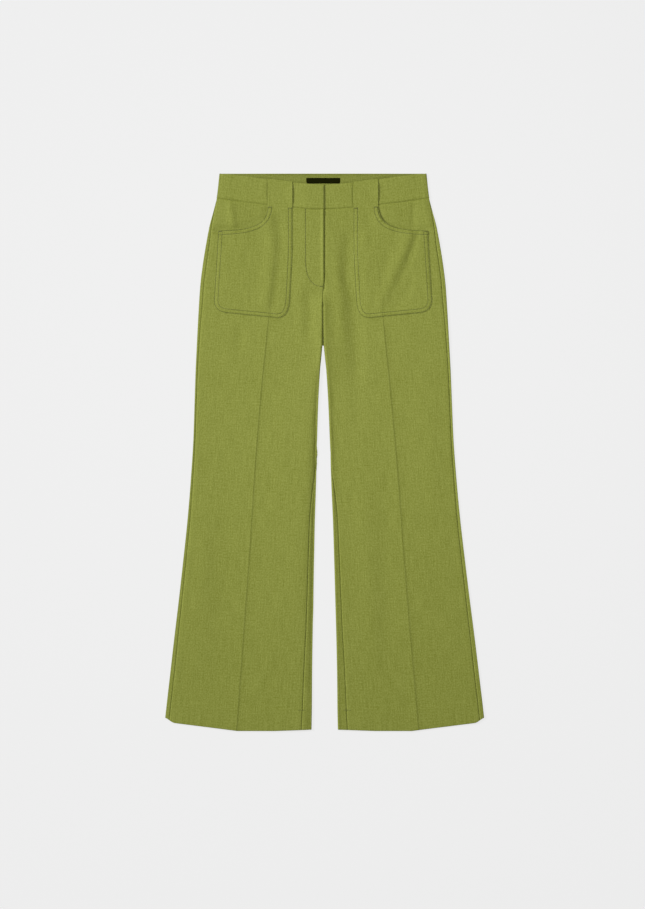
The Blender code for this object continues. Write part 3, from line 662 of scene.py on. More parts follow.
def front_face(side, across, down):
    """Height of the front's outer face between its turned edges."""
    middle = at(SECTIONS, "middle", down)
    roll = at(SECTIONS, "inner_roll", down)
    from_side = at(SECTIONS, "outer", down) - across - SIDE_ROLL
    from_inner = across - at(SECTIONS, "inner", down) - roll
    turned = smooth(down, *EDGES_TURN)
    side_rise = -SIDE_DROP * np.exp(-np.maximum(from_side, 0) / SIDE_FADE)
    inner_rise = (2 * roll - middle) * np.exp(-np.maximum(from_inner, 0) / EDGE_FADE) * turned
    if side == RIGHT:
        drop, reach = at(INSIDE_ROUND, "drop", down), at(INSIDE_ROUND, "reach", down)
        swell = SWELL * drop * np.exp(-np.maximum(from_inner, 0) / SWELL_REACH)
        own_form = swell - drop * np.exp(-np.maximum(from_inner, 0) / reach)
    else:
        at_shin = smooth(down, *SHIN)
        lip = mix(*INSIDE_LIP, at_shin) * np.exp(-np.maximum(from_inner, 0) / LIP_REACH)
        dip = mix(*INSIDE_DIP, at_shin) * np.exp(-np.maximum(from_inner, 0) / DIP_REACH)
        own_form = lip - dip
    inner_rise = mix(inner_rise, own_form, smooth(down, *INSIDE_GROWS))
    clear = mix(1.0, smooth(from_inner, 0, EDGE_CLEAR), turned)
    clear = smooth(from_side, 0, EDGE_CLEAR) * clear

    folds = sum(fold_height(f, across, down) for f in FRONT_FOLDS if f.side == side)
    waves = unevenness(40 + side, across, down, FRONT_WAVE, FRONT_WAVE_DEPTH)
    hem_level = down + hem_lift(down, share_across(across, down))
    hem_step = HEM_STEP * smooth(hem_level, *HEM_STEP_AT)
    relief = crease_ridge(side, across, down) + folds + waves
    fly = 0.0
    if side == RIGHT:
        fly = FLY_RAISE * (1 - smooth(across - FLY_WIDTH, *FLY_RAISE_ENDS))
        fly = fly * (1 - smooth(down, FLY_END, FLY_END + FLY_RAISE_STOPS))
    return middle + side_rise + inner_rise + fly + relief * clear + hem_step


def top_at(side):
    """The height of one side's front, for the rows that turn over a leg's edges."""
    def face(across, down):
        return front_face(side, across, down)
    return face


def sew_edges(points, lower, upwards, depth, at_inner, at_top=0.0):
    """Moves a panel's points along its normals: seams dip, and turned rows lie inside.

    A seam runs down the side, and down the inner edge where at_inner is above zero.
    at_top is the relief of the seam along the waistband.
    """
    away = lengths_along(points, 1)
    relief = sewn_edge(away) + sewn_edge(away[:, -1:] - away) * at_inner + at_top
    return points + outward(points, lower, upwards) * (relief - depth)[..., None]


NEAR_SEAM = np.array([0.0, 0.35, 0.7, 1.05, 1.5])  # rows close to the waistband seam
HEM_ROWS = 9


def leg_levels(top, spacing):
    """Levels of a leg panel's rows, from the waistband seam round the turned-up hem."""
    near_seam = top + NEAR_SEAM
    foot = LENGTH - HEM_THICK / 2
    rest = np.linspace(near_seam[-1], foot, round((foot - top) / spacing))[1:]
    rows_outside = np.concatenate([near_seam, rest])
    return turned_edge(rows_outside, LENGTH, HEM_THICK, HEM_FOLD, HEM_ROWS)


BACK_ROWS_APART = 5.4
INSEAM_STARTS = (440, 470)  # below these levels the inside leg seam shows on the back


for side in (RIGHT, LEFT):
    level, depth = leg_levels(BAND_DEPTH + SEAM, BACK_ROWS_APART)
    points, crease_column = back_rows(side, level)
    lower, _ = back_rows(side, level + NEXT)
    points = sew_edges(points, lower, False, depth, smooth(level, *INSEAM_STARTS))
    back = lay_cloth("back_cloth_" + SIDE_NAMES[side], points, False, crease_column)
    back.data.materials.append(gabardine)
    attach(back, "root")
    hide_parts("back_" + SIDE_NAMES[side])


# ---- fly underlap and zip ------------------------------------------------------------------
# Behind the fly a single strip of gabardine with a rounded foot shields the zip. The tape
# lies on it, under the right front, with moulded teeth that are closed to the top.
UNDERLAP_ACROSS = (-8.0, 33.0)
UNDERLAP_DOWN = (69.5, 206.0)
UNDERLAP_HEIGHT = 2.25
FOOT_FROM, FOOT_WIDTH = 0.75, 12.0  # the last quarter of its length narrows to this
ZIP_TOP = 3.3  # height of the tape's upper face
TEETH_ACROSS = 15.0
TEETH_DOWN = (74.0, 198.0)
TOOTH_PITCH = 2.4
TOOTH_HALF = (1.6, 0.5, 0.45)  # across, down and height
TOOTH_APART = 1.1  # how far the two rows' teeth stand from the middle of the tape

t = np.linspace(0, 1, 70)[:, None]
level = mix(*UNDERLAP_DOWN, t)
narrowed = np.maximum(0.0, (t - FOOT_FROM) / (1 - FOOT_FROM)) ** 2
edge = mix(UNDERLAP_ACROSS[1], UNDERLAP_ACROSS[0] + FOOT_WIDTH, narrowed)
across = mix(edge, UNDERLAP_ACROSS[0], np.linspace(0, 1, 24))
height = UNDERLAP_HEIGHT + unevenness(7, across, level, 30.0, 0.02)
underlap = lay_cloth("underlap_cloth", place(RIGHT, across, level, height), True)
underlap.data.materials.append(gabardine)
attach(underlap, "root")
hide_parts("fly_underlap")


def two_tones(name, dark, light, roughness, pattern, scale, where="Object"):
    """A matt finish whose colour swings between two tones, in ribs or in specks.

    where is "Object", or else the name of the piece's own map.
    """
    material = bpy.data.materials.new(name)
    material.use_nodes = True
    nodes, links = material.node_tree.nodes, material.node_tree.links
    nodes["Principled BSDF"].inputs["Roughness"].default_value = roughness
    if where == "Object":
        place_read = nodes.new("ShaderNodeTexCoord").outputs[where]
    else:
        own_map = nodes.new("ShaderNodeUVMap")
        own_map.uv_map = where
        place_read = own_map.outputs["UV"]
    if pattern == "ribs":
        texture = nodes.new("ShaderNodeTexWave")
        texture.bands_direction = "Y"
    else:
        texture = nodes.new("ShaderNodeTexNoise")
    texture.inputs["Scale"].default_value = scale
    ramp = nodes.new("ShaderNodeValToRGB")
    ramp.color_ramp.elements[0].color = dark
    ramp.color_ramp.elements[1].color = light
    if pattern == "specks":
        ramp.color_ramp.elements[0].position = 0.35
        ramp.color_ramp.elements[1].position = 0.65
    links.new(place_read, texture.inputs["Vector"])
    links.new(texture.outputs["Fac"], ramp.inputs["Fac"])
    links.new(ramp.outputs["Color"], nodes["Principled BSDF"].inputs["Base Color"])
    return material


tape_cloth = two_tones(
    "zip_tape_cloth", (0.14, 0.16, 0.03, 1), (0.22, 0.245, 0.05, 1), 0.8, "ribs", 420.0
)
for node_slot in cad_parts["fly_zip"].material_slots:
    node_slot.material = tape_cloth


def copies_joined(name, template, placed):
    """One mesh of many copies of a small shape, each at its own place, way and size.

    placed holds for each copy its centre and three half axes, in millimetres.
    """
    shape = np.empty(len(template.data.vertices) * 3)
    template.data.vertices.foreach_get("co", shape)
    shape = shape.reshape(-1, 3)
    faces = [list(polygon.vertices) for polygon in template.data.polygons]
    points, polygons = [], []
    for centre, *axes in placed:
        polygons += [[len(points) * len(shape) + v for v in face] for face in faces]
        points.append((np.array(centre) + shape @ np.array(axes)) * MM)
    mesh = bpy.data.meshes.new(name)
    mesh.from_pydata(np.concatenate(points).tolist(), [], polygons)
    mesh.shade_smooth()
    bpy.data.objects.remove(template)
    piece = bpy.data.objects.new(name, mesh)
    bpy.context.scene.collection.objects.link(piece)
    return piece


bpy.ops.object.select_all(action="DESELECT")
bpy.ops.mesh.primitive_cube_add(size=2)
tooth = bpy.context.object
tooth_edges = tooth.modifiers.new("round", "BEVEL")
tooth_edges.width = 0.35  # as a share of half its size
tooth_edges.segments = 2
bpy.ops.object.modifier_apply(modifier=tooth_edges.name)
tooth_axes = tuple(np.diag(TOOTH_HALF))
teeth = []
for k in range(int((TEETH_DOWN[1] - TEETH_DOWN[0]) / TOOTH_PITCH)):
    down = TEETH_DOWN[0] + k * TOOTH_PITCH
    for hand in (-1, 1):
        across = TEETH_ACROSS + hand * TOOTH_APART
        middle = place(RIGHT, across, down + hand * TOOTH_PITCH / 4, ZIP_TOP + TOOTH_HALF[2])
        teeth.append((middle, *tooth_axes))
zip_teeth = copies_joined("zip_teeth", tooth, teeth)
teeth_paint = bpy.data.materials.new("zip_teeth_plastic")
teeth_paint.use_nodes = True
teeth_shader = teeth_paint.node_tree.nodes["Principled BSDF"]
teeth_shader.inputs["Base Color"].default_value = (0.17, 0.19, 0.04, 1)
teeth_shader.inputs["Roughness"].default_value = 0.35
zip_teeth.data.materials.append(teeth_paint)
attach(zip_teeth, "root")


# ---- fronts --------------------------------------------------------------------------------
# Each front is one panel with a pressed crease. The right one is faced at the fly and
# laps over the left, and below the crotch both turn under at the inside of the leg.
VALLEY_FLOOR = 1.3  # the fronts' edges stop here, just above the backs
VALLEY_STARTS = (245, 275)  # and sink towards it between these levels
FORK_BLEND = 7.0
BACKS_TOP = 1.7  # a front can't sink below this, where it lies on its back
SOFT_STOP = 0.9  # and slows down this much above it
CENTRE_SEAM = 0.15  # half of the gap between the fronts, where they are sewn together
CENTRE_SEAM_GROWS = 12.0  # below the fly's end that seam shows more and more
LEFT_LAP = 4.0  # how far the left front passes the centre line, under the fly
LAP_ENDS = (-14, -1)  # both laps come back to the centre here, above the fly's end
FLAT_ENDS = 2.0  # and the inner edges lie flat until this far below it
FLY_LIP = 2.0  # the fly's free edge stands up by this much
FLY_LIP_AT, FLY_LIP_REACH, FLY_LIP_ENDS = 1.8, 2.6, (184, 206)
FLY_EDGE = 0.4  # radius of its fold
FLY_ROW = 0.3  # how deep the curved stitching pulls the cloth in
UNDER_LIP, UNDER_LIP_AT, UNDER_LIP_REACH = 2.2, 2.4, 2.0  # the left front sinks below it
MOUTH_HOLLOW = {RIGHT: 2.5, LEFT: 1.6}  # the fronts sink below the pockets' mouths
MOUTH_HOLLOW_REACH = 8.0
MOUTH_HOLLOW_STARTS = 12.0  # below the waistband
HOLLOW_ACROSS_FROM, HOLLOW_DOWN_TO = 40.0, 250.0  # nothing else sinks
FRONT_ROWS_APART = 4.0
FRONT_SIDE_COLUMNS, FRONT_INNER_COLUMNS = 13, 30
PAST_SIDE, PAST_INNER = 6, 8  # how far in from each roll those columns run
FRONT_OUTER_HALF, FRONT_INNER_HALF, FRONT_GATHER = 63, 49, 1.6


def front_level(level, share):
    """How far down a front's row really lies: the top rows dip, the hem rows rise."""
    top = FRONT_DIP * (1 - share**DIP_CURVE) ** DIP_EASE
    seam = SEAM_DIP * (1 - share**SEAM_DIP_CURVE)
    on_band = level + mix(top, seam, level / BAND_DEPTH)
    dip = seam * (1 - smooth(level, BAND_DEPTH, BAND_DEPTH + DIP_FADES))
    return np.where(level < BAND_DEPTH, on_band, level + dip - hem_lift(level, share))


def front_end(level, down):
    """Where a front's inner edge ends below the fly, as a turn round that edge."""
    roll = at(SECTIONS, "inner_roll", down)
    inset = np.maximum(CENTRE_SEAM - at(SECTIONS, "inner", down), 0.0)
    on_roll = roll * np.arccos(np.clip(1 - inset / roll, -1, 1))
    meeting = np.where(inset >= roll, math.pi * roll / 2 + inset - roll, on_roll)
    sunk = roll * np.arcsin((VALLEY_FLOOR - roll) / roll)
    above_fork = mix(meeting, sunk, smooth(level, *VALLEY_STARTS))
    below_fork = at(TURNS, "inner", level) + SEAM
    return mix(above_fork, below_fork, smooth(level, FORK_LEVEL, FORK_LEVEL + FORK_BLEND))


def front_rows(side, level):
    """The front's outer face at each level, and the number of its column at the crease.

    A row runs from the side seam to the inner edge.
    """
    inner_down = front_level(level, 0.0)
    edge_down = front_level(level, 1.0)
    side_turn = at(TURNS, "side", level) + SEAM
    over_side = np.maximum(side_turn, math.pi * SIDE_ROLL / 2) + PAST_SIDE
    turns = mix(side_turn, over_side, ends_first(FRONT_SIDE_COLUMNS, 0.3))
    side_across, side_height = ring("outer", edge_down, turns, top_at(side))
    side_down = front_level(level, share_across(side_across, level))

    inner_turn = front_end(level, inner_down)
    roll = at(SECTIONS, "inner_roll", inner_down)
    over_inner = np.maximum(inner_turn, math.pi * roll / 2) + PAST_INNER
    shares = 1 - ends_first(FRONT_INNER_COLUMNS, 0.3)[::-1]
    turns = mix(over_inner, inner_turn, shares)
    end_across, end_height = ring("inner", inner_down, turns, top_at(side))
    lap = -FLY_LAP if side == RIGHT else -LEFT_LAP
    last_across = mix(lap, CENTRE_SEAM, smooth(level - FLY_END, *LAP_ENDS))
    flat_across = mix(end_across[:, :1], last_across, shares)
    lies_flat = level < FLY_END + FLAT_ENDS
    end_across = np.where(lies_flat, flat_across, end_across)
    end_down = front_level(level, share_across(end_across, level))
    end_height = np.where(lies_flat, front_face(side, end_across, end_down), end_height)

    first = side_across[:, -1:]
    crease = crease_across(side, level)
    last = end_across[:, :1]
    outward_shares = (1 - np.linspace(0, 1, FRONT_OUTER_HALF)[1:-1]) ** FRONT_GATHER
    outer_half = mix(first, crease, 1 - outward_shares)
    inner_half = mix(crease, last, np.linspace(0, 1, FRONT_INNER_HALF)[:-1] ** FRONT_GATHER)
    middle = np.concatenate([outer_half, inner_half], axis=1)
    middle_down = front_level(level, share_across(middle, level))
    return place(
        side,
        np.concatenate([side_across, middle, end_across], axis=1),
        np.concatenate([side_down, middle_down, end_down], axis=1),
        np.concatenate([side_height, front_face(side, middle, middle_down), end_height], axis=1),
    ), side_across.shape[1] + outer_half.shape[1]


def folded_edge(away, radius):
    """How far cloth has curved down at this distance from an edge that is folded under."""
    inside = np.clip(radius - away, 0.0, radius)
    return radius - np.sqrt(radius**2 - inside**2)


def bezier(points, t):
    """Points of the curve with these two, three or four control points, at t."""
    t = np.asarray(t, float)[..., None]
    points = [np.array(p, float) for p in points]
    while len(points) > 1:
        points = [a + (b - a) * t for a, b in zip(points, points[1:])]
    return points[0]


def away_from(line, across, down):
    """Distance of every point from a line of (across, down) points."""
    nearest = np.full(np.broadcast(across, down).shape, 1e9)
    for (a0, d0), (a1, d1) in zip(line, line[1:]):
        run_a, run_d = a1 - a0, d1 - d0
        t = ((across - a0) * run_a + (down - d0) * run_d) / (run_a**2 + run_d**2)
        t = np.clip(t, 0, 1)
        nearest = np.minimum(nearest, np.hypot(across - a0 - t * run_a, down - d0 - t * run_d))
    return nearest


LOOP_INNER, LOOP_OUTER = 57.5, 104.0  # the two edges of a pocket's loop, across
MOUTH_CURVE = ((104.0, 63.5), (106.0, 96.0), (130.0, 106.0), (197.2, 107.5))
mouth_line = bezier(MOUTH_CURVE, np.linspace(0, 1, 40))
FLY_STRAIGHT = ((FLY_WIDTH, 66.0), (FLY_WIDTH, 165.0))
FLY_CURVE = ((FLY_WIDTH, 165.0), (FLY_WIDTH - 1, 208.0), (6.5, 212.5))
fly_line = np.concatenate([
    bezier(FLY_STRAIGHT, np.linspace(0, 1, 12)),
    bezier(FLY_CURVE, np.linspace(0, 1, 16))[1:],
])


def channel(away, width=1.1):
    """A soft hollow along a line, as stitching makes it: 1 on the line, and 0 beside it."""
    return np.exp(-((away / width) ** 2))


for side in (RIGHT, LEFT):
    level, depth = leg_levels(BAND_DEPTH + SEAM, FRONT_ROWS_APART)
    points, crease_column = front_rows(side, level)
    lower, _ = front_rows(side, level + NEXT)
    sewn = smooth(level, FLY_END, FLY_END + CENTRE_SEAM_GROWS)
    points = sew_edges(points, lower, True, depth, sewn, sewn_edge(level - BAND_DEPTH))
    away = lengths_along(points, 1)
    away = away[:, -1:] - away
    down = LENGTH / 2 - points[..., 1]
    across = side * (points[..., 0] - LEAN * (1 - smooth(down, LEAN_FROM, LENGTH)))

    hollow = channel(away_from(mouth_line, across, down), MOUTH_HOLLOW_REACH)
    hollow = hollow * smooth(level, BAND_DEPTH, BAND_DEPTH + MOUTH_HOLLOW_STARTS)
    sunk = points[..., 2] - MOUTH_HOLLOW[side] * hollow
    slowed = BACKS_TOP + SOFT_STOP
    on_back = BACKS_TOP + SOFT_STOP * np.exp(np.minimum(sunk - slowed, 0) / SOFT_STOP)
    settled = np.where(sunk < slowed, on_back, sunk)
    outside = depth <= 0
    sinks = outside & (across > HOLLOW_ACROSS_FROM) & (down < HOLLOW_DOWN_TO)
    points[..., 2] = np.where(sinks, settled, points[..., 2])
    if side == RIGHT:
        lip = FLY_LIP * channel(away - FLY_LIP_AT, FLY_LIP_REACH)
        lip = lip * (1 - smooth(level, *FLY_LIP_ENDS))
        points[..., 2] += (lip - folded_edge(away, FLY_EDGE)) * (1 - sewn)
        points[..., 2] -= FLY_ROW * channel(away_from(fly_line, across, down)) * outside
    else:
        under_lip = UNDER_LIP * channel(across - UNDER_LIP_AT, UNDER_LIP_REACH)
        points[..., 2] -= under_lip * (1 - sewn)
    front = lay_cloth("front_cloth_" + SIDE_NAMES[side], points, True, crease_column)
    front.data.materials.append(gabardine)
    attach(front, "root")
    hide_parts("front_" + SIDE_NAMES[side])


# ---- waistband -----------------------------------------------------------------------------
# A shaped waistband in four pieces, each a strip of gabardine with a facing of the same
# cloth inside and an interfacing between them. The top edge is turned over, and the right
# end laps over the left at the centre front.
BAND_THICK = 1.8  # outer cloth, interfacing and facing, pressed
BAND_SEAM = 0.1
BACK_RISE = 2.0  # the back's top edge curves up from the table, most at the centre
BACK_SHELF = 1.8  # and the facing drops by this much in front of the front's top edge
SHELF_EDGE = (-4.4, 0.8)  # the drop's slope, below the front's top edge
SHELF_DIP = (2, 8)  # the drop comes in where the front's top edge dips by this much
RISE_REACH = 3.8
RISE_ENDS = (90, 188)  # across
FACING_AT = 2.7  # the facing is sewn on this far below the top edge
FACING_GROOVE, FACING_GROOVE_WIDTH = 0.9, 0.8  # depth and width of that seam
FACING_WELT, WELT_BELOW, WELT_WIDTH = 0.35, 1.8, 0.9  # its allowance stands out below it
FRONT_TOP = 0.4  # the front's top edge lies this much lower than the back's
TOP_EDGE, TOP_EDGE_REACH = 0.6, 1.6  # and is pressed down by this much
BAND_WAVE, BAND_WAVE_DEPTH, BAND_WAVE_DOWN = 60.0, 0.10, 0.4
FLY_BAND_HEIGHT = 7.2  # the right end, which lies on the left one
FLY_BAND_SETTLES = (-6, 24)  # across, past the fly's width
UNDER_BAND_HEIGHT = 3.95
UNDER_BAND_SETTLES = (1, 26)  # across, past the right end
END_EDGE = 0.9  # radius of the fold at a waistband's front end
LOOP_SHADE = {RIGHT: 1.6, LEFT: 3.2}  # the waistband is pressed in along one edge of a loop
LOOP_SHADE_WIDTH = 2.6
LOOP_SHADE_LEAST = 0.3  # this share of it is left at the top edge and at the seam
LOOP_SHADE_STARTS, LOOP_SHADE_ENDS = (2, 14), (28, 44)
LOOP_SHADE_INSET = 1.2  # its line lies this much inside the loop's edge
BAND_NEAR_SEAM = np.array([1.5, 1.0, 0.7, 0.35, 0.0])  # rows close to the seam
BAND_ROWS, BAND_FACING_ROWS, FACING_GATHER = 21, 26, 2.2
BAND_SIDE_COLUMNS, FRONT_BAND_COLUMNS, BACK_BAND_COLUMNS = 9, 190, 90
# painted shade: the facing's yarn colours are darkened by this share
FACING_PAINTED_SHADE = 0.88

facing_cloth_with_painted_shade = gabardine.copy()  # the facing's cloth is darkened by painted shade, for the shade inside the waist
facing_cloth_with_painted_shade.name = "gabardine_painted_shade_facing"
for node in facing_cloth_with_painted_shade.node_tree.nodes:
    if node.bl_idname == "ShaderNodeValToRGB":
        for element in node.color_ramp.elements:
            element.color = [FACING_PAINTED_SHADE * part for part in element.color[:3]] + [1]


def band_face(side, across, down):
    """Height of the front waistband's face; the right end lies on the left one."""
    middle = at(SECTIONS, "middle", down)
    from_side = at(SECTIONS, "outer", down) - across - SIDE_ROLL
    height = middle - SIDE_DROP * np.exp(-np.maximum(from_side, 0) / SIDE_FADE)
    waves = unevenness(60 + side, across, down * BAND_WAVE_DOWN, BAND_WAVE, BAND_WAVE_DEPTH)
    height = height + waves
    if side == RIGHT:
        return mix(FLY_BAND_HEIGHT, height, smooth(across - FLY_WIDTH, *FLY_BAND_SETTLES))
    return mix(UNDER_BAND_HEIGHT, height, smooth(across - FLY_LAP, *UNDER_BAND_SETTLES))


def band_levels(top, bottom):
    """Levels and depths of a waistband's rows, from inside over the top edge and down."""
    radius = BAND_THICK / 2
    angle = np.linspace(0, math.pi, FOLD_POINTS)[1:-1]
    near_seam = bottom - BAND_NEAR_SEAM
    outer = np.concatenate([np.linspace(top + radius, near_seam[0], BAND_ROWS), near_seam[1:]])
    facing_shares = np.linspace(1, 0, BAND_FACING_ROWS) ** FACING_GATHER
    inside = mix(top + radius, bottom, facing_shares)
    levels = np.concatenate([inside, top + radius - radius * np.sin(angle), outer])
    depth = np.concatenate(
        [np.full(len(inside), BAND_THICK), radius + radius * np.cos(angle), np.zeros(len(outer))]
    )
    return levels[:, None], depth[:, None]


def front_band_rows(side, level):
    """The front waistband's outer face at each level, from the side seam to its end."""
    end = -FLY_LAP if side == RIGHT else -FLY_WIDTH
    shares = ends_first(BAND_SIDE_COLUMNS, 0.3)
    turns = mix(BAND_SEAM, math.pi * SIDE_ROLL / 2, shares)[None, :]
    edge_down = front_level(level, 1.0)
    side_across, side_height = ring("outer", edge_down, turns, top_at(side))
    side_down = front_level(level, share_across(side_across, level))
    first = at(SECTIONS, "outer", edge_down) - SIDE_ROLL
    middle = mix(first, end, ends_first(FRONT_BAND_COLUMNS, 1.0, 0.12)[1:])
    middle_down = front_level(level, share_across(middle, level))
    return place(
        side,
        np.concatenate([side_across, middle], axis=1),
        np.concatenate([side_down, middle_down], axis=1),
        np.concatenate([side_height, band_face(side, middle, middle_down)], axis=1),
    )


def back_rise(across, level):
    """How far the back waistband stands up where it shows above the front's dip."""
    front_top = front_level(FRONT_TOP, np.clip(across / at(SECTIONS, "outer", 0), 0, 1))
    lip = BACK_RISE * np.exp(-np.maximum(level, 0) / RISE_REACH)
    shelf = BACK_SHELF * (1 - smooth(level - front_top, *SHELF_EDGE))
    return (lip + shelf * smooth(front_top, *SHELF_DIP)) * (1 - smooth(across, *RISE_ENDS))


def back_band_rows(side, level):
    """The back waistband's outer face at each level, from the side seam to the centre."""
    shares = ends_first(BAND_SIDE_COLUMNS, 0.3)
    turns = mix(-BAND_SEAM, -math.pi * SIDE_ROLL / 2, shares)[None, :]
    side_across, side_height = ring("outer", level, turns, top_at(side))
    first = at(SECTIONS, "outer", level) - SIDE_ROLL
    middle = mix(first, 0.0, ends_first(BACK_BAND_COLUMNS, 1.0, 0.15)[1:])
    height = np.concatenate([side_height, back_rise(middle, level)], axis=1)
    return place(side, np.concatenate([side_across, middle], axis=1), level, height)


def finish_band(band, points, depth, node):
    """Gives a waistband piece its cloth, with painted shade darkening the facing, and its node.
    """
    rows, columns = points.shape[:2]
    facing = np.count_nonzero(depth >= BAND_THICK) - 1
    slots = np.zeros(len(band.data.polygons), np.int32)
    slots[(rows - 1 - facing) * (columns - 1) : (rows - 1) * (columns - 1)] = 1
    band.data.materials.append(gabardine)
    band.data.materials.append(facing_cloth_with_painted_shade)
    band.data.polygons.foreach_set("material_index", slots)
    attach(band, "root")
    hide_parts(node)


for side in (RIGHT, LEFT):
    name = SIDE_NAMES[side]
    level, depth = band_levels(0.0, BAND_DEPTH - SEAM)
    points = back_band_rows(side, level)
    lower = back_band_rows(side, level + NEXT)
    below_seam = level - FACING_AT
    groove = FACING_GROOVE * channel(below_seam, FACING_GROOVE_WIDTH)
    groove = groove - FACING_WELT * channel(below_seam - WELT_BELOW, WELT_WIDTH)
    groove = groove * (depth >= BAND_THICK)
    points = points + outward(points, lower, False) * (groove - depth)[..., None]
    band = lay_cloth("waistband_back_cloth_" + name, points, False)
    finish_band(band, points, depth, "waistband_back_" + name)

    level, depth = band_levels(FRONT_TOP, BAND_DEPTH - SEAM)
    points = front_band_rows(side, level)
    lower = front_band_rows(side, level + NEXT)
    outside = depth <= 0
    at_seam = sewn_edge(BAND_DEPTH - SEAM - level)
    from_side = lengths_along(points, 1)
    from_end = from_side[:, -1:] - from_side
    relief = at_seam + sewn_edge(from_side) - folded_edge(from_end, END_EDGE)
    across = side * (points[..., 0] - LEAN)
    shade_line = {RIGHT: LOOP_OUTER - LOOP_SHADE_INSET, LEFT: LOOP_INNER + LOOP_SHADE_INSET}
    beside_loop = across - shade_line[side]
    pressed = smooth(level, *LOOP_SHADE_STARTS) * (1 - smooth(level, *LOOP_SHADE_ENDS))
    pressed = mix(LOOP_SHADE_LEAST, 1.0, pressed)
    relief = relief - LOOP_SHADE[side] * channel(beside_loop, LOOP_SHADE_WIDTH) * pressed
    top_edge = TOP_EDGE * np.exp(-np.maximum(level - FRONT_TOP, 0) / TOP_EDGE_REACH)
    relief = relief * outside - depth - top_edge
    points = points + outward(points, lower, True) * relief[..., None]
    band = lay_cloth("waistband_front_cloth_" + name, points, True)
    finish_band(band, points, depth, "waistband_front_" + name)


# ---- label ---------------------------------------------------------------------------------
# A plain strip of fine black ribbon, with nothing woven into it. It is sewn down at both
# ends on the facing of the back waistband, at the centre.
LABEL_SIZE = (64.0, 10.4)
LABEL_CENTRE = 0.6  # across
LABEL_TOP = 8.3
LABEL_HEIGHT = 1.95
LABEL_LIFT, LABEL_ENDS = 0.5, (0.3, 4.0)  # it stands up between its sewn ends
DARK_RIBBON, LIGHT_RIBBON = (0.0050, 0.0056, 0.0003, 1), (0.0110, 0.0124, 0.0008, 1)

down = LABEL_TOP + LABEL_SIZE[1] * np.linspace(0, 1, 22)[:, None]
across = LABEL_CENTRE + LABEL_SIZE[0] * (0.5 - np.linspace(0, 1, 100)[None, :])
from_end = LABEL_SIZE[0] / 2 - np.abs(across - LABEL_CENTRE)
height = LABEL_HEIGHT + LABEL_LIFT * smooth(from_end, *LABEL_ENDS)
height = height + back_rise(np.abs(across), down)
label = lay_cloth("label_ribbon", place(LEFT, across, down, height), True)
ribbon = two_tones("black_damask_ribbon", DARK_RIBBON, LIGHT_RIBBON, 0.7, "ribs", 800.0, "grain")
ribbon.node_tree.nodes["Principled BSDF"].inputs["Specular IOR Level"].default_value = 0.02
label.data.materials.append(ribbon)
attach(label, "root")
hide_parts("label")


# ---- patch pockets and loops ---------------------------------------------------------------
# One piece of gabardine makes each pocket and the wide loop above it, which stands over
# the waistband for a belt. Its edges are turned under and sewn down with two rows, and
# the curved mouth at the side is left open.
POCKET_BASE = 0.88  # the pocket's outer face lies this much above what carries it
POCKET_LIFT, LIFT_FROM_EDGE = 0.6, (1, 9)  # and between its sewn edges this much more
MOUTH_LIFT, MOUTH_WIDTH = 0.9, 24.0  # its mouth stands further off the front
MOUTH_LIFT_FROM = (66, 84)
FOLDS_FROM_EDGE = (2, 22)
POCKET_WAVE, POCKET_WAVE_DEPTH = 34.0, 0.10
LOOP_BASE, LOOP_LIFT = 0.2, 0.9  # the loop stands off the waistband
LOOP_TOP, LOOP_RAMP = 2, 14  # from just above the waistband's edge, over a distance down
LOOP_FLAT, LOOP_BOW, LOOP_BOW_CURVE = 0.6, 1.6, 5  # most at its edge towards +X
LOOP_AT_SEAM, LOOP_FOOT = 0.3, 16  # and least at the waistband seam
ONTO_BAND = (-9, 1)  # at the seam the pocket passes from the front to the waistband
BELOW_BAND = (4, -4)  # and the border and its two rows of stitching begin
TURNED_IN = 0.3  # the turned edge makes the border this much thicker
BORDER_ENDS = (0.4, 2.2)  # past the inner row
POCKET_EDGE = 0.45  # radius of the folded edge
POCKET_INNER = ((57.5, 150.0), (62.3, 240.0))
POCKET_INNER_CORNER = ((62.3, 240.0), (65.0, 273.6), (88.0, 272.2))
POCKET_OUTER = ((197.2, 107.5), (205.4, 236.0))
POCKET_OUTER_CORNER = ((205.4, 236.0), (206.6, 259.8), (182.0, 262.8))
POCKET_FOLDS = (
    Fold(RIGHT, 106, 70, 95, 150, 12, 1.7),
    Fold(RIGHT, 86, 84, 78, 150, 9, -0.8),
    Fold(RIGHT, 95, 140, 110, 262, 12, 1.6),
    Fold(RIGHT, 82, 150, 97, 262, 10, -0.7),
    Fold(RIGHT, 168, 130, 176, 240, 18, 0.5),
    Fold(LEFT, 165, 104, 144, 172, 10, 1.6),
    Fold(LEFT, 148, 156, 100, 260, 14, 1.5),
    Fold(LEFT, 181, 102, 162, 166, 7, -1.7),
    Fold(LEFT, 167, 148, 138, 216, 9, -1.3),
    Fold(LEFT, 170, 176, 132, 262, 20, -1.2),
    Fold(LEFT, 84, 110, 82, 235, 16, 0.6),
)
ROW_INSET = 7.7  # the inner row of stitching, from the edge
EDGE_ROW = 1.1  # and the row along the edge
CHANNEL = 0.55  # how deep the stitching pulls the cloth in
EDGE_CHANNEL_WIDTH = 0.8
MOUTH_LEVEL = 112.0  # rows that start at the mouth meet the inner edge above this


def seam_down(across):
    """The waistband seam of the front, at this distance from the centre line."""
    share = np.clip(across / at(SECTIONS, "outer", BAND_DEPTH), 0, 1)
    return BAND_DEPTH + SEAM_DIP * (1 - share**SEAM_DIP_CURVE)


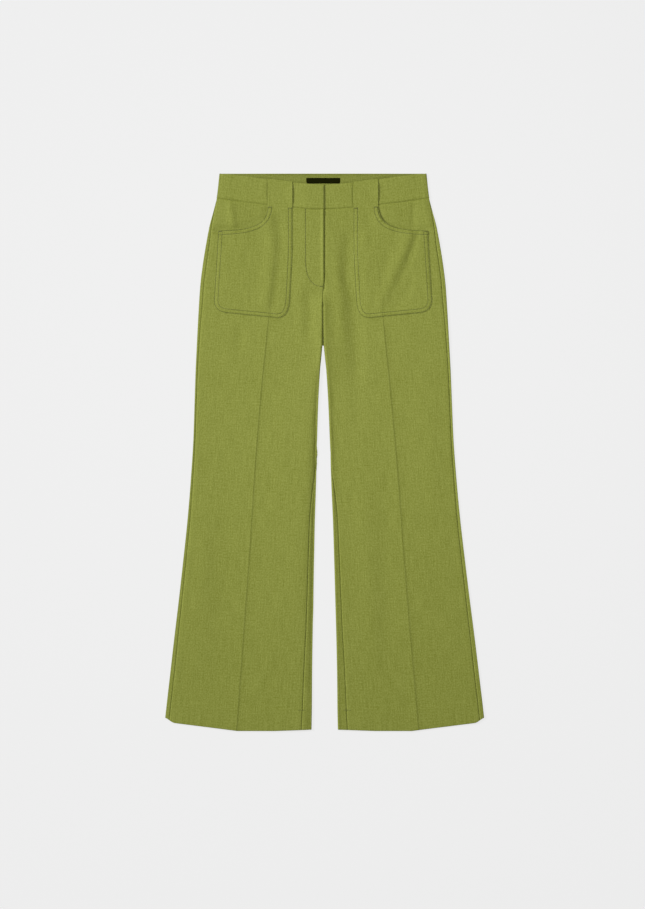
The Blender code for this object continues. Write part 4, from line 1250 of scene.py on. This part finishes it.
LOOP_TOP_LEVEL, LOOP_PAST_TOP = 0.3, 1.0  # it ends this far above the waistband's edge
loop_shares = np.array([LOOP_INNER, LOOP_OUTER]) / at(SECTIONS, "outer", 0)
loop_top = front_level(LOOP_TOP_LEVEL, loop_shares) - LOOP_PAST_TOP
sewn_line = np.concatenate([
    [(LOOP_INNER, seam_down(LOOP_INNER))],
    bezier(POCKET_INNER, np.linspace(0, 1, 8)),
    bezier(POCKET_INNER_CORNER, np.linspace(0, 1, 20))[1:],
    bezier(POCKET_OUTER_CORNER, np.linspace(1, 0, 20)),
    bezier(POCKET_OUTER, np.linspace(1, 0, 8))[1:],
])
loop_lines = [
    [(LOOP_INNER, loop_top[0]), (LOOP_INNER, seam_down(LOOP_INNER))],
    [(LOOP_OUTER, loop_top[1]), (LOOP_OUTER, seam_down(LOOP_OUTER))],
    [(LOOP_INNER, loop_top[0]), (LOOP_OUTER, loop_top[1])],
]


def pocket_face(side, across, down):
    """Height of the pocket's outer face, with its turned edges and sewn channels."""
    into_mouth = away_from(mouth_line, across, down)
    into_sewn = away_from(sewn_line, across, down)
    into_loop = np.minimum.reduce([away_from(line, across, down) for line in loop_lines])
    lift = POCKET_LIFT * smooth(into_sewn, *LIFT_FROM_EDGE)
    gape = MOUTH_LIFT * (1 - smooth(into_mouth, 0, MOUTH_WIDTH))
    lift = lift + gape * smooth(down, *MOUTH_LIFT_FROM)
    free = smooth(into_sewn, *FOLDS_FROM_EDGE)
    lift = lift + free * sum(fold_height(f, across, down) for f in POCKET_FOLDS if f.side == side)
    waves = unevenness(80 + side, across, down, POCKET_WAVE, POCKET_WAVE_DEPTH)
    on_front = front_face(side, across, down) + lift + free * waves

    above_seam = seam_down(across) - down
    top = seam_down(across) - BAND_DEPTH - LOOP_TOP
    to_right = (across - LOOP_INNER) / (LOOP_OUTER - LOOP_INNER)
    to_right = np.clip(1 - to_right if side == RIGHT else to_right, 0, 1)
    bow = LOOP_FLAT + LOOP_BOW * to_right**LOOP_BOW_CURVE
    loop = LOOP_LIFT * smooth(down, top, top + LOOP_RAMP) * bow
    loop = LOOP_BASE + loop * mix(LOOP_AT_SEAM, 1.0, smooth(above_seam, 0, LOOP_FOOT))
    on_band = band_face(side, across, np.minimum(down, BAND_DEPTH)) + loop
    height = mix(on_front, on_band, smooth(above_seam, *ONTO_BAND)) + POCKET_BASE

    turned_in = np.minimum(into_sewn, into_mouth)
    below_band = smooth(above_seam, *BELOW_BAND)
    border = TURNED_IN * (1 - smooth(turned_in - ROW_INSET, *BORDER_ENDS)) * below_band
    channels = channel(into_sewn - ROW_INSET) + channel(into_mouth - ROW_INSET)
    channels = channels + channel(turned_in - EDGE_ROW, EDGE_CHANNEL_WIDTH)
    edge = folded_edge(np.minimum(turned_in, into_loop), POCKET_EDGE)
    return height + border - CHANNEL * channels * below_band - edge


def pocket_ends():
    """Inner and outer end of each row of the pocket, from the loop's top to its foot."""
    def straight(from_across, to_across, from_down, to_down, t):
        return bezier(((from_across, from_down), (to_across, to_down)), t)

    seam_in, seam_out = seam_down(LOOP_INNER), seam_down(LOOP_OUTER)
    t_loop = ends_first(34, 0.25)[:-1]
    t_mouth = np.linspace(0, 1, 46)[:-1]
    t_side = np.linspace(0, 1, 81)[:-1]
    t_corner = np.linspace(0, 1, 41) ** 0.9
    (top_across, top_down), (foot_across, foot_down) = POCKET_INNER
    down = mix(MOUTH_LEVEL, foot_down, t_side)
    lean = np.clip((down - top_down) / (foot_down - top_down), 0, 1)
    inner = [
        straight(LOOP_INNER, LOOP_INNER, loop_top[0], seam_in, t_loop),
        straight(LOOP_INNER, LOOP_INNER, seam_in, MOUTH_LEVEL, t_mouth),
        np.stack([mix(top_across, foot_across, lean), down], axis=1),
        bezier(POCKET_INNER_CORNER, t_corner),
    ]
    outer = [
        straight(LOOP_OUTER, LOOP_OUTER, loop_top[1], seam_out, t_loop),
        bezier(MOUTH_CURVE, t_mouth),
        bezier(POCKET_OUTER, t_side),
        bezier(POCKET_OUTER_CORNER, t_corner),
    ]
    return np.concatenate(inner), np.concatenate(outer)


for side in (RIGHT, LEFT):
    inner, outer = pocket_ends()
    shares = ends_first(96, 0.14, 0.14)
    across = mix(outer[:, :1], inner[:, :1], shares)
    down = mix(outer[:, 1:], inner[:, 1:], shares)
    points = place(side, across, down, pocket_face(side, across, down))
    pocket = lay_cloth("pocket_cloth_" + SIDE_NAMES[side], points, True, flat_grain=True)
    pocket.data.materials.append(gabardine)
    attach(pocket, "root")
    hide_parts("pocket_" + SIDE_NAMES[side])


# ---- visible sewing ------------------------------------------------------------------------
# Thread of the cloth's hue, but darker, and darkened further as painted shade of the
# grooves the stitching pulls in. Two rows hold each pocket and two finish its mouth, a curved
# row holds the fly facing, a short row shows on each hem, and bar tacks take the strain at the
# loops, the mouths and the fly.
STITCH_PITCH = 3.0
STITCH_LENGTH = 2.5
FIRST_STITCH = 0.4  # from the start of a row
THREAD, TACK_THREAD, CROSS_THREAD = 0.5, 0.35, 0.26  # half thicknesses
THREAD_RISE = 0.1  # a stitch's ends lie this much above the cloth
FLY_SUNK = 0.1  # and those of the fly's row this much lower than the others
TACK_WIDTH, TACK_THREADS, TACK_SLANT = 1.5, 16, 0.25
POCKET_TACKS = (
    ((LOOP_INNER + 0.4, 65.6), (LOOP_INNER + 8.4, 65.3)),
    ((LOOP_OUTER - 8.4, 63.4), (LOOP_OUTER - 0.4, 63.4)),
    ((189.2, 108.9), (196.6, 108.9)),
)
FLY_TACK = ((0.6, 212.6), (6.6, 212.6))
HEM_STITCHES = ((35.0, 1010.5), (51.5, 1010.5))
# partly the thread's own darker tone, and partly painted shade of the stitch grooves
DARK_THREAD, LIGHT_THREAD = (0.032, 0.040, 0.004, 1), (0.064, 0.076, 0.009, 1)

thread_paint = two_tones("sewing_thread", DARK_THREAD, LIGHT_THREAD, 0.55, "specks", 900.0)


def row_inside(line, inset, turn):
    """The line moved sideways by inset; turn is +1 where the cloth lies at its left."""
    line = np.asarray(line)
    run = np.gradient(line, axis=0)
    run /= np.linalg.norm(run, axis=1, keepdims=True)
    return line + inset * turn * np.stack([run[:, 1], -run[:, 0]], axis=1)


def one_stitch(side, start, end, face, thick=THREAD):
    """Centre and half axes of a stitch between two (across, down) places on a face."""
    ends = [place(side, a, d, face(side, a, d) + THREAD_RISE) for a, d in (start, end)]
    half = (ends[1] - ends[0]) / 2
    width = np.cross((0, 0, 1), half)
    width *= thick / np.linalg.norm(width)
    return (ends[0] + ends[1]) / 2, half, width, (0, 0, thick)


def stitches(side, line, face):
    """Stitches end to end along a line of (across, down) points."""
    line = np.asarray(line)
    reach = np.concatenate([[0], np.cumsum(np.hypot(*np.diff(line, axis=0).T))])
    starts = np.arange(FIRST_STITCH, reach[-1] - STITCH_LENGTH, STITCH_PITCH)

    def on_line(lengths):
        return np.stack([np.interp(lengths, reach, line[:, k]) for k in (0, 1)], axis=1)

    pairs = zip(on_line(starts), on_line(starts + STITCH_LENGTH))
    return [one_stitch(side, start, end, face) for start, end in pairs]


def bar_tack(side, ends, face):
    """A dense bar of crossing threads between two (across, down) places."""
    start, end = np.array(ends, float)
    run = (end - start) / np.hypot(*(end - start))
    cross = np.array([run[1], -run[0]]) * TACK_WIDTH / 2
    bars = [one_stitch(side, start, end, face, TACK_THREAD)]
    for k in range(TACK_THREADS):
        middle = mix(start, end, (k + 0.5) / TACK_THREADS)
        half = cross + run * TACK_SLANT * (-1) ** k
        bars.append(one_stitch(side, middle - half, middle + half, face, CROSS_THREAD))
    return bars


def fly_face(side, across, down):
    return front_face(side, across, down) - FLY_SUNK


def thread_shape():
    """A small round form with its poles on the X axis, which each stitch stretches."""
    bpy.ops.object.select_all(action="DESELECT")
    bpy.ops.mesh.primitive_uv_sphere_add(segments=6, ring_count=4, radius=1)
    bpy.ops.object.mode_set(mode="EDIT")
    bpy.ops.mesh.select_all(action="SELECT")
    bpy.ops.transform.rotate(value=math.pi / 2, orient_axis="Y", center_override=(0, 0, 0))
    bpy.ops.object.mode_set(mode="OBJECT")
    return bpy.context.object


for side in (RIGHT, LEFT):
    sewing = []
    for inset in (EDGE_ROW, ROW_INSET):
        sewing += stitches(side, row_inside(sewn_line, inset, 1), pocket_face)
        sewing += stitches(side, row_inside(mouth_line, inset, -1), pocket_face)
    for ends in POCKET_TACKS:
        sewing += bar_tack(side, ends, pocket_face)
    if side == RIGHT:
        sewing += stitches(side, fly_line, fly_face)
        sewing += bar_tack(side, FLY_TACK, fly_face)
    sewing += stitches(side, HEM_STITCHES, front_face)
    thread = copies_joined("sewing_" + SIDE_NAMES[side], thread_shape(), sewing)
    thread.data.materials.append(thread_paint)
    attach(thread, "root")
